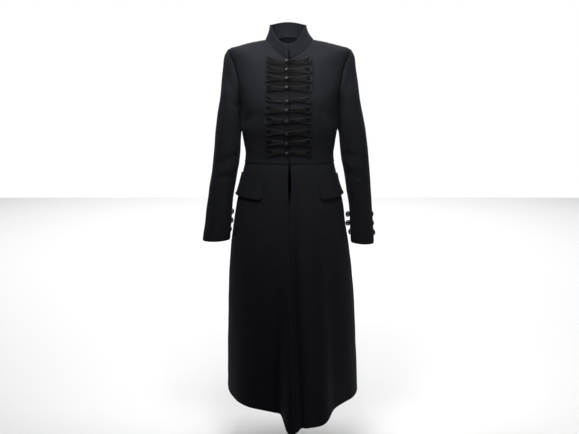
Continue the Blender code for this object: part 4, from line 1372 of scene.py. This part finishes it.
def surface_of_sleeve(side, turn, down):
    """A point on the sleeve and its normal."""
    here = sleeve_row(side, np.array([turn - SLOPE_STEP, turn, turn + SLOPE_STEP]), down)
    below = sleeve_row(side, np.array([turn]), min(down + SLOPE_STEP, cuff_of(side)))[0]
    above = sleeve_row(side, np.array([turn]), down - SLOPE_STEP)[0]
    normal = np.cross(here[2] - here[0], below - above)
    normal /= np.linalg.norm(normal)
    if np.dot(normal, here[1] - arm_middle(side, down)) < 0:
        normal = -normal
    return here[1], normal


def cuff_cord_place(side, out, down, frog):
    """A place on the back of the sleeve or, past the sewn middle, on the way straight on."""
    turn = 3 * QUARTER + min(max(out, -CUFF_LEAVE_OUT), CUFF_LEAVE_OUT) / CUFF_RADIUS
    point, normal = surface_of_sleeve(side, turn, down)
    if abs(out) > CUFF_LEAVE_OUT:
        toward = math.copysign(1, out)
        near = sleeve_row(side, np.array([turn - SLOPE_STEP, turn + SLOPE_STEP]), down)
        ahead = (near[1] - near[0]) / np.linalg.norm(near[1] - near[0]) * toward
        edge = sleeve_row(side, np.array([0 if toward > 0 else 2 * QUARTER]), down)[0]
        reach = frog.outer_reach if toward > 0 else frog.inner_reach
        length = (abs(edge[0] - point[0]) + reach) / abs(ahead[0])
        point = point + ahead * length * (abs(out) - CUFF_LEAVE_OUT) / (CUFF_RUN[-1].out - CUFF_LEAVE_OUT)
    return point + normal * SLEEVE_STANDOFF, normal


def make_cuff_frog(side, number, frog):
    """A frog across the back of a cuff."""
    def place(out, up):
        return cuff_cord_place(side, out, cuff_of(side) - frog.rise - up, frog)

    node = f"cuff_frog_{SIDE_NAMES[side]}_{number}"
    seed = number + 50 * side
    strands = band_of(closed_run(CUFF_RUN), place, seed) + band_of(closed_run(CUFF_CORE_RUN), place, seed, 1)
    make_cord_piece(node, strands)


for side in (RIGHT, LEFT):
    for number, frog in enumerate(CUFF_FROGS[side], 1):
        make_cuff_frog(side, number, frog)
print("cuff frogs:", sum(len(frogs) for frogs in CUFF_FROGS.values()))

# %% [markdown]
# ## Buttons
# Each button is a small dark dome with a turned rim, on a shank through the cloth. One is built upright from
# a sphere, a torus and a cylinder, then copied to every row and turned to face out of the cloth there.

# %% One button, and its copies
BUTTON_PLACE = 0.0096
BUTTON_RADIUS = 0.0058
BUTTON_FOOT = 0.0046
BUTTON_TOP = 0.0098
DOME_SHARE = 0.92
DOME_FLATNESS = 0.50
RIM_RADIUS = 0.0009
RIM_DOWN = 0.0036
SHANK_RADIUS = 0.0018
SHANK_UP = 0.0008
CUFF_BUTTON_SCALE = 0.87
BUTTON_SMOOTH_ANGLE = math.radians(40)


def make_button_pattern():
    """A button that stands on the ground plane, its shank down."""
    deselect()
    bpy.ops.mesh.primitive_uv_sphere_add(segments=28, ring_count=16, radius=BUTTON_RADIUS * DOME_SHARE)
    dome = bpy.context.object
    bpy.ops.object.mode_set(mode="EDIT")
    bpy.ops.mesh.select_all(action="SELECT")
    bpy.ops.transform.resize(value=(1, 1, DOME_FLATNESS))
    bpy.ops.transform.translate(value=(0, 0, BUTTON_TOP - BUTTON_RADIUS * DOME_SHARE * DOME_FLATNESS))
    bpy.ops.object.mode_set(mode="OBJECT")
    deselect()
    bpy.ops.mesh.primitive_torus_add(
        major_segments=28, minor_segments=8, major_radius=BUTTON_RADIUS - RIM_RADIUS, minor_radius=RIM_RADIUS,
        location=(0, 0, BUTTON_TOP - RIM_DOWN))
    rim = bpy.context.object
    deselect()
    bpy.ops.mesh.primitive_cylinder_add(
        vertices=14, radius=SHANK_RADIUS, depth=BUTTON_FOOT, location=(0, 0, BUTTON_FOOT / 2 + SHANK_UP))
    shank = bpy.context.object
    for part in (dome, rim, shank):
        part.select_set(True)
    bpy.context.view_layer.objects.active = dome
    bpy.ops.object.transform_apply(location=True, rotation=True, scale=True)
    bpy.ops.object.join()
    bpy.ops.object.shade_smooth_by_angle(angle=BUTTON_SMOOTH_ANGLE)
    dome.data.materials.append(HORN)
    return dome


button_pattern = make_button_pattern()


def place_button(node, foot, normal, scale):
    """A copy of the button with its own mesh, standing on a point of the cloth."""
    mesh = button_pattern.data.copy()
    turn = Vector((0, 0, 1)).rotation_difference(Vector(normal)).to_matrix().to_4x4()
    mesh.transform(Matrix.Translation(Vector(foot)) @ turn @ Matrix.Scale(scale, 4))
    piece = bpy.data.objects.new("knob_" + node, mesh)
    bpy.context.scene.collection.objects.link(piece)
    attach(piece, "root")
    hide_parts(node)


for number, row in enumerate(FROG_ROWS, 1):
    foot, normal = cloth_under(-BUTTON_PLACE, row.z)
    place_button(f"button_{number:02d}", foot, normal, 1)
for side in (RIGHT, LEFT):
    for number, frog in enumerate(CUFF_FROGS[side], 1):
        foot, normal = surface_of_sleeve(side, 3 * QUARTER, cuff_of(side) - frog.rise)
        place_button(f"cuff_button_{SIDE_NAMES[side]}_{number}", foot, normal, CUFF_BUTTON_SCALE)
bpy.data.objects.remove(button_pattern)
print("buttons placed")

# %% [markdown]
# ## Floor, light and camera
# The coat is shown on its own over a flat pale floor, before a white room. Two small lamps with narrow beams
# light the chest from close by, and a third hangs over the front. One on each side lights the skirt, much
# more from the wearer's left, and a very broad one brightens the floor. No lamp is seen itself. The camera's
# place and lens are chosen values: level with the upper chest and looking down a little.

# %% Studio
FLOOR_Z = -1.42
FLOOR_SIZE = 13.0


def make_floor():
    deselect()
    bpy.ops.mesh.primitive_plane_add(size=1, location=(0, 0, 0))
    floor = bpy.context.object
    floor.name = "studio_floor"
    bpy.ops.object.mode_set(mode="EDIT")
    bpy.ops.mesh.select_all(action="SELECT")
    bpy.ops.transform.resize(value=(FLOOR_SIZE, FLOOR_SIZE, 1))
    bpy.ops.transform.translate(value=(0, 0, FLOOR_Z))
    bpy.ops.object.mode_set(mode="OBJECT")
    material = new_material("studio_pale", 0.9)
    shader_of(material).inputs["Base Color"].default_value = (0.95, 0.95, 0.95, 1)
    shader_of(material).inputs["Specular IOR Level"].default_value = 0.2
    floor.data.materials.append(material)


Lamp = namedtuple("Lamp", "name size power place aim beam")
LAMPS = [
    Lamp("close_right", 0.4, 4.3, (-0.12, -0.52, 0.38), (-0.04, -0.10, -0.04), 90),
    Lamp("close_left", 0.4, 2.3, (0.12, -0.52, 0.38), (0.04, -0.10, -0.04), 90),
    Lamp("middle_front", 0.6, 1.5, (0, -1.1, 0.60), (0, 0, -0.15), 180),
    Lamp("low_left", 1.2, 14.0, (2.0, -1.4, -0.5), (0, 0, -0.80), 180),
    Lamp("low_right", 1.2, 0.6, (-2.0, -1.2, 0.0), (0, 0, -0.50), 180),
    Lamp("floor_wash", 9.0, 430, (0, 4.2, 2.2), (0, 4.2, FLOOR_Z), 180),
]


def add_lamp(lamp):
    """A square lamp that points at a place and isn't seen itself."""
    data = bpy.data.lights.new(lamp.name, "AREA")
    data.shape = "SQUARE"
    data.size = lamp.size
    data.energy = lamp.power
    data.spread = math.radians(lamp.beam)
    made = bpy.data.objects.new(lamp.name, data)
    made.location = lamp.place
    made.rotation_euler = (Vector(lamp.aim) - Vector(lamp.place)).to_track_quat("-Z", "Y").to_euler()
    made.visible_camera = False
    bpy.context.scene.collection.objects.link(made)


make_floor()
for lamp in LAMPS:
    add_lamp(lamp)


def make_world(seen, lit):
    """A white room: its walls as bright as they are seen, and softer as they light the coat."""
    world = bpy.data.worlds.new("studio")
    bpy.context.scene.world = world
    world.use_nodes = True
    tree = world.node_tree
    soft = tree.nodes["Background"]
    soft.inputs["Strength"].default_value = lit
    soft.inputs["Color"].default_value = (1, 1, 1, 1)
    wall = tree.nodes.new("ShaderNodeBackground")
    wall.inputs["Strength"].default_value = seen
    wall.inputs["Color"].default_value = (1, 1, 1, 1)
    path = tree.nodes.new("ShaderNodeLightPath")
    mix = tree.nodes.new("ShaderNodeMixShader")
    tree.links.new(path.outputs["Is Camera Ray"], mix.inputs["Fac"])
    tree.links.new(soft.outputs["Background"], mix.inputs[1])
    tree.links.new(wall.outputs["Background"], mix.inputs[2])
    tree.links.new(mix.outputs["Shader"], tree.nodes["World Output"].inputs["Surface"])


WALLS_SEEN = 1.0
WALLS_LIT = 0.035
make_world(WALLS_SEEN, WALLS_LIT)
bpy.context.scene.view_settings.view_transform = "Standard"

CAMERA_Y = -2.35
CAMERA_Z = -0.19
PITCH_DOWN = math.radians(9.49)
LENS_PIXELS = 700
PHOTO_WIDTH = 579
SENSOR = 36

camera_data = bpy.data.cameras.new("camera")
camera_data.sensor_width = SENSOR
camera_data.lens = LENS_PIXELS / PHOTO_WIDTH * SENSOR
camera = bpy.data.objects.new("camera", camera_data)
camera.location = (0, CAMERA_Y, CAMERA_Z)
camera.rotation_euler = (QUARTER - PITCH_DOWN, 0, 0)
bpy.context.scene.collection.objects.link(camera)
bpy.context.scene.camera = camera
print("lens:", round(camera_data.lens, 2))

# %% Sizes and finish
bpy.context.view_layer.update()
triangles = 0
shown = [thing for thing in bpy.data.objects if thing.name.split("_")[0] in ("cloth", "cord", "knob")]
for thing in shown:
    triangles += sum(len(face.vertices) - 2 for face in thing.data.polygons)
print("pieces:", len(shown), "triangles:", triangles)
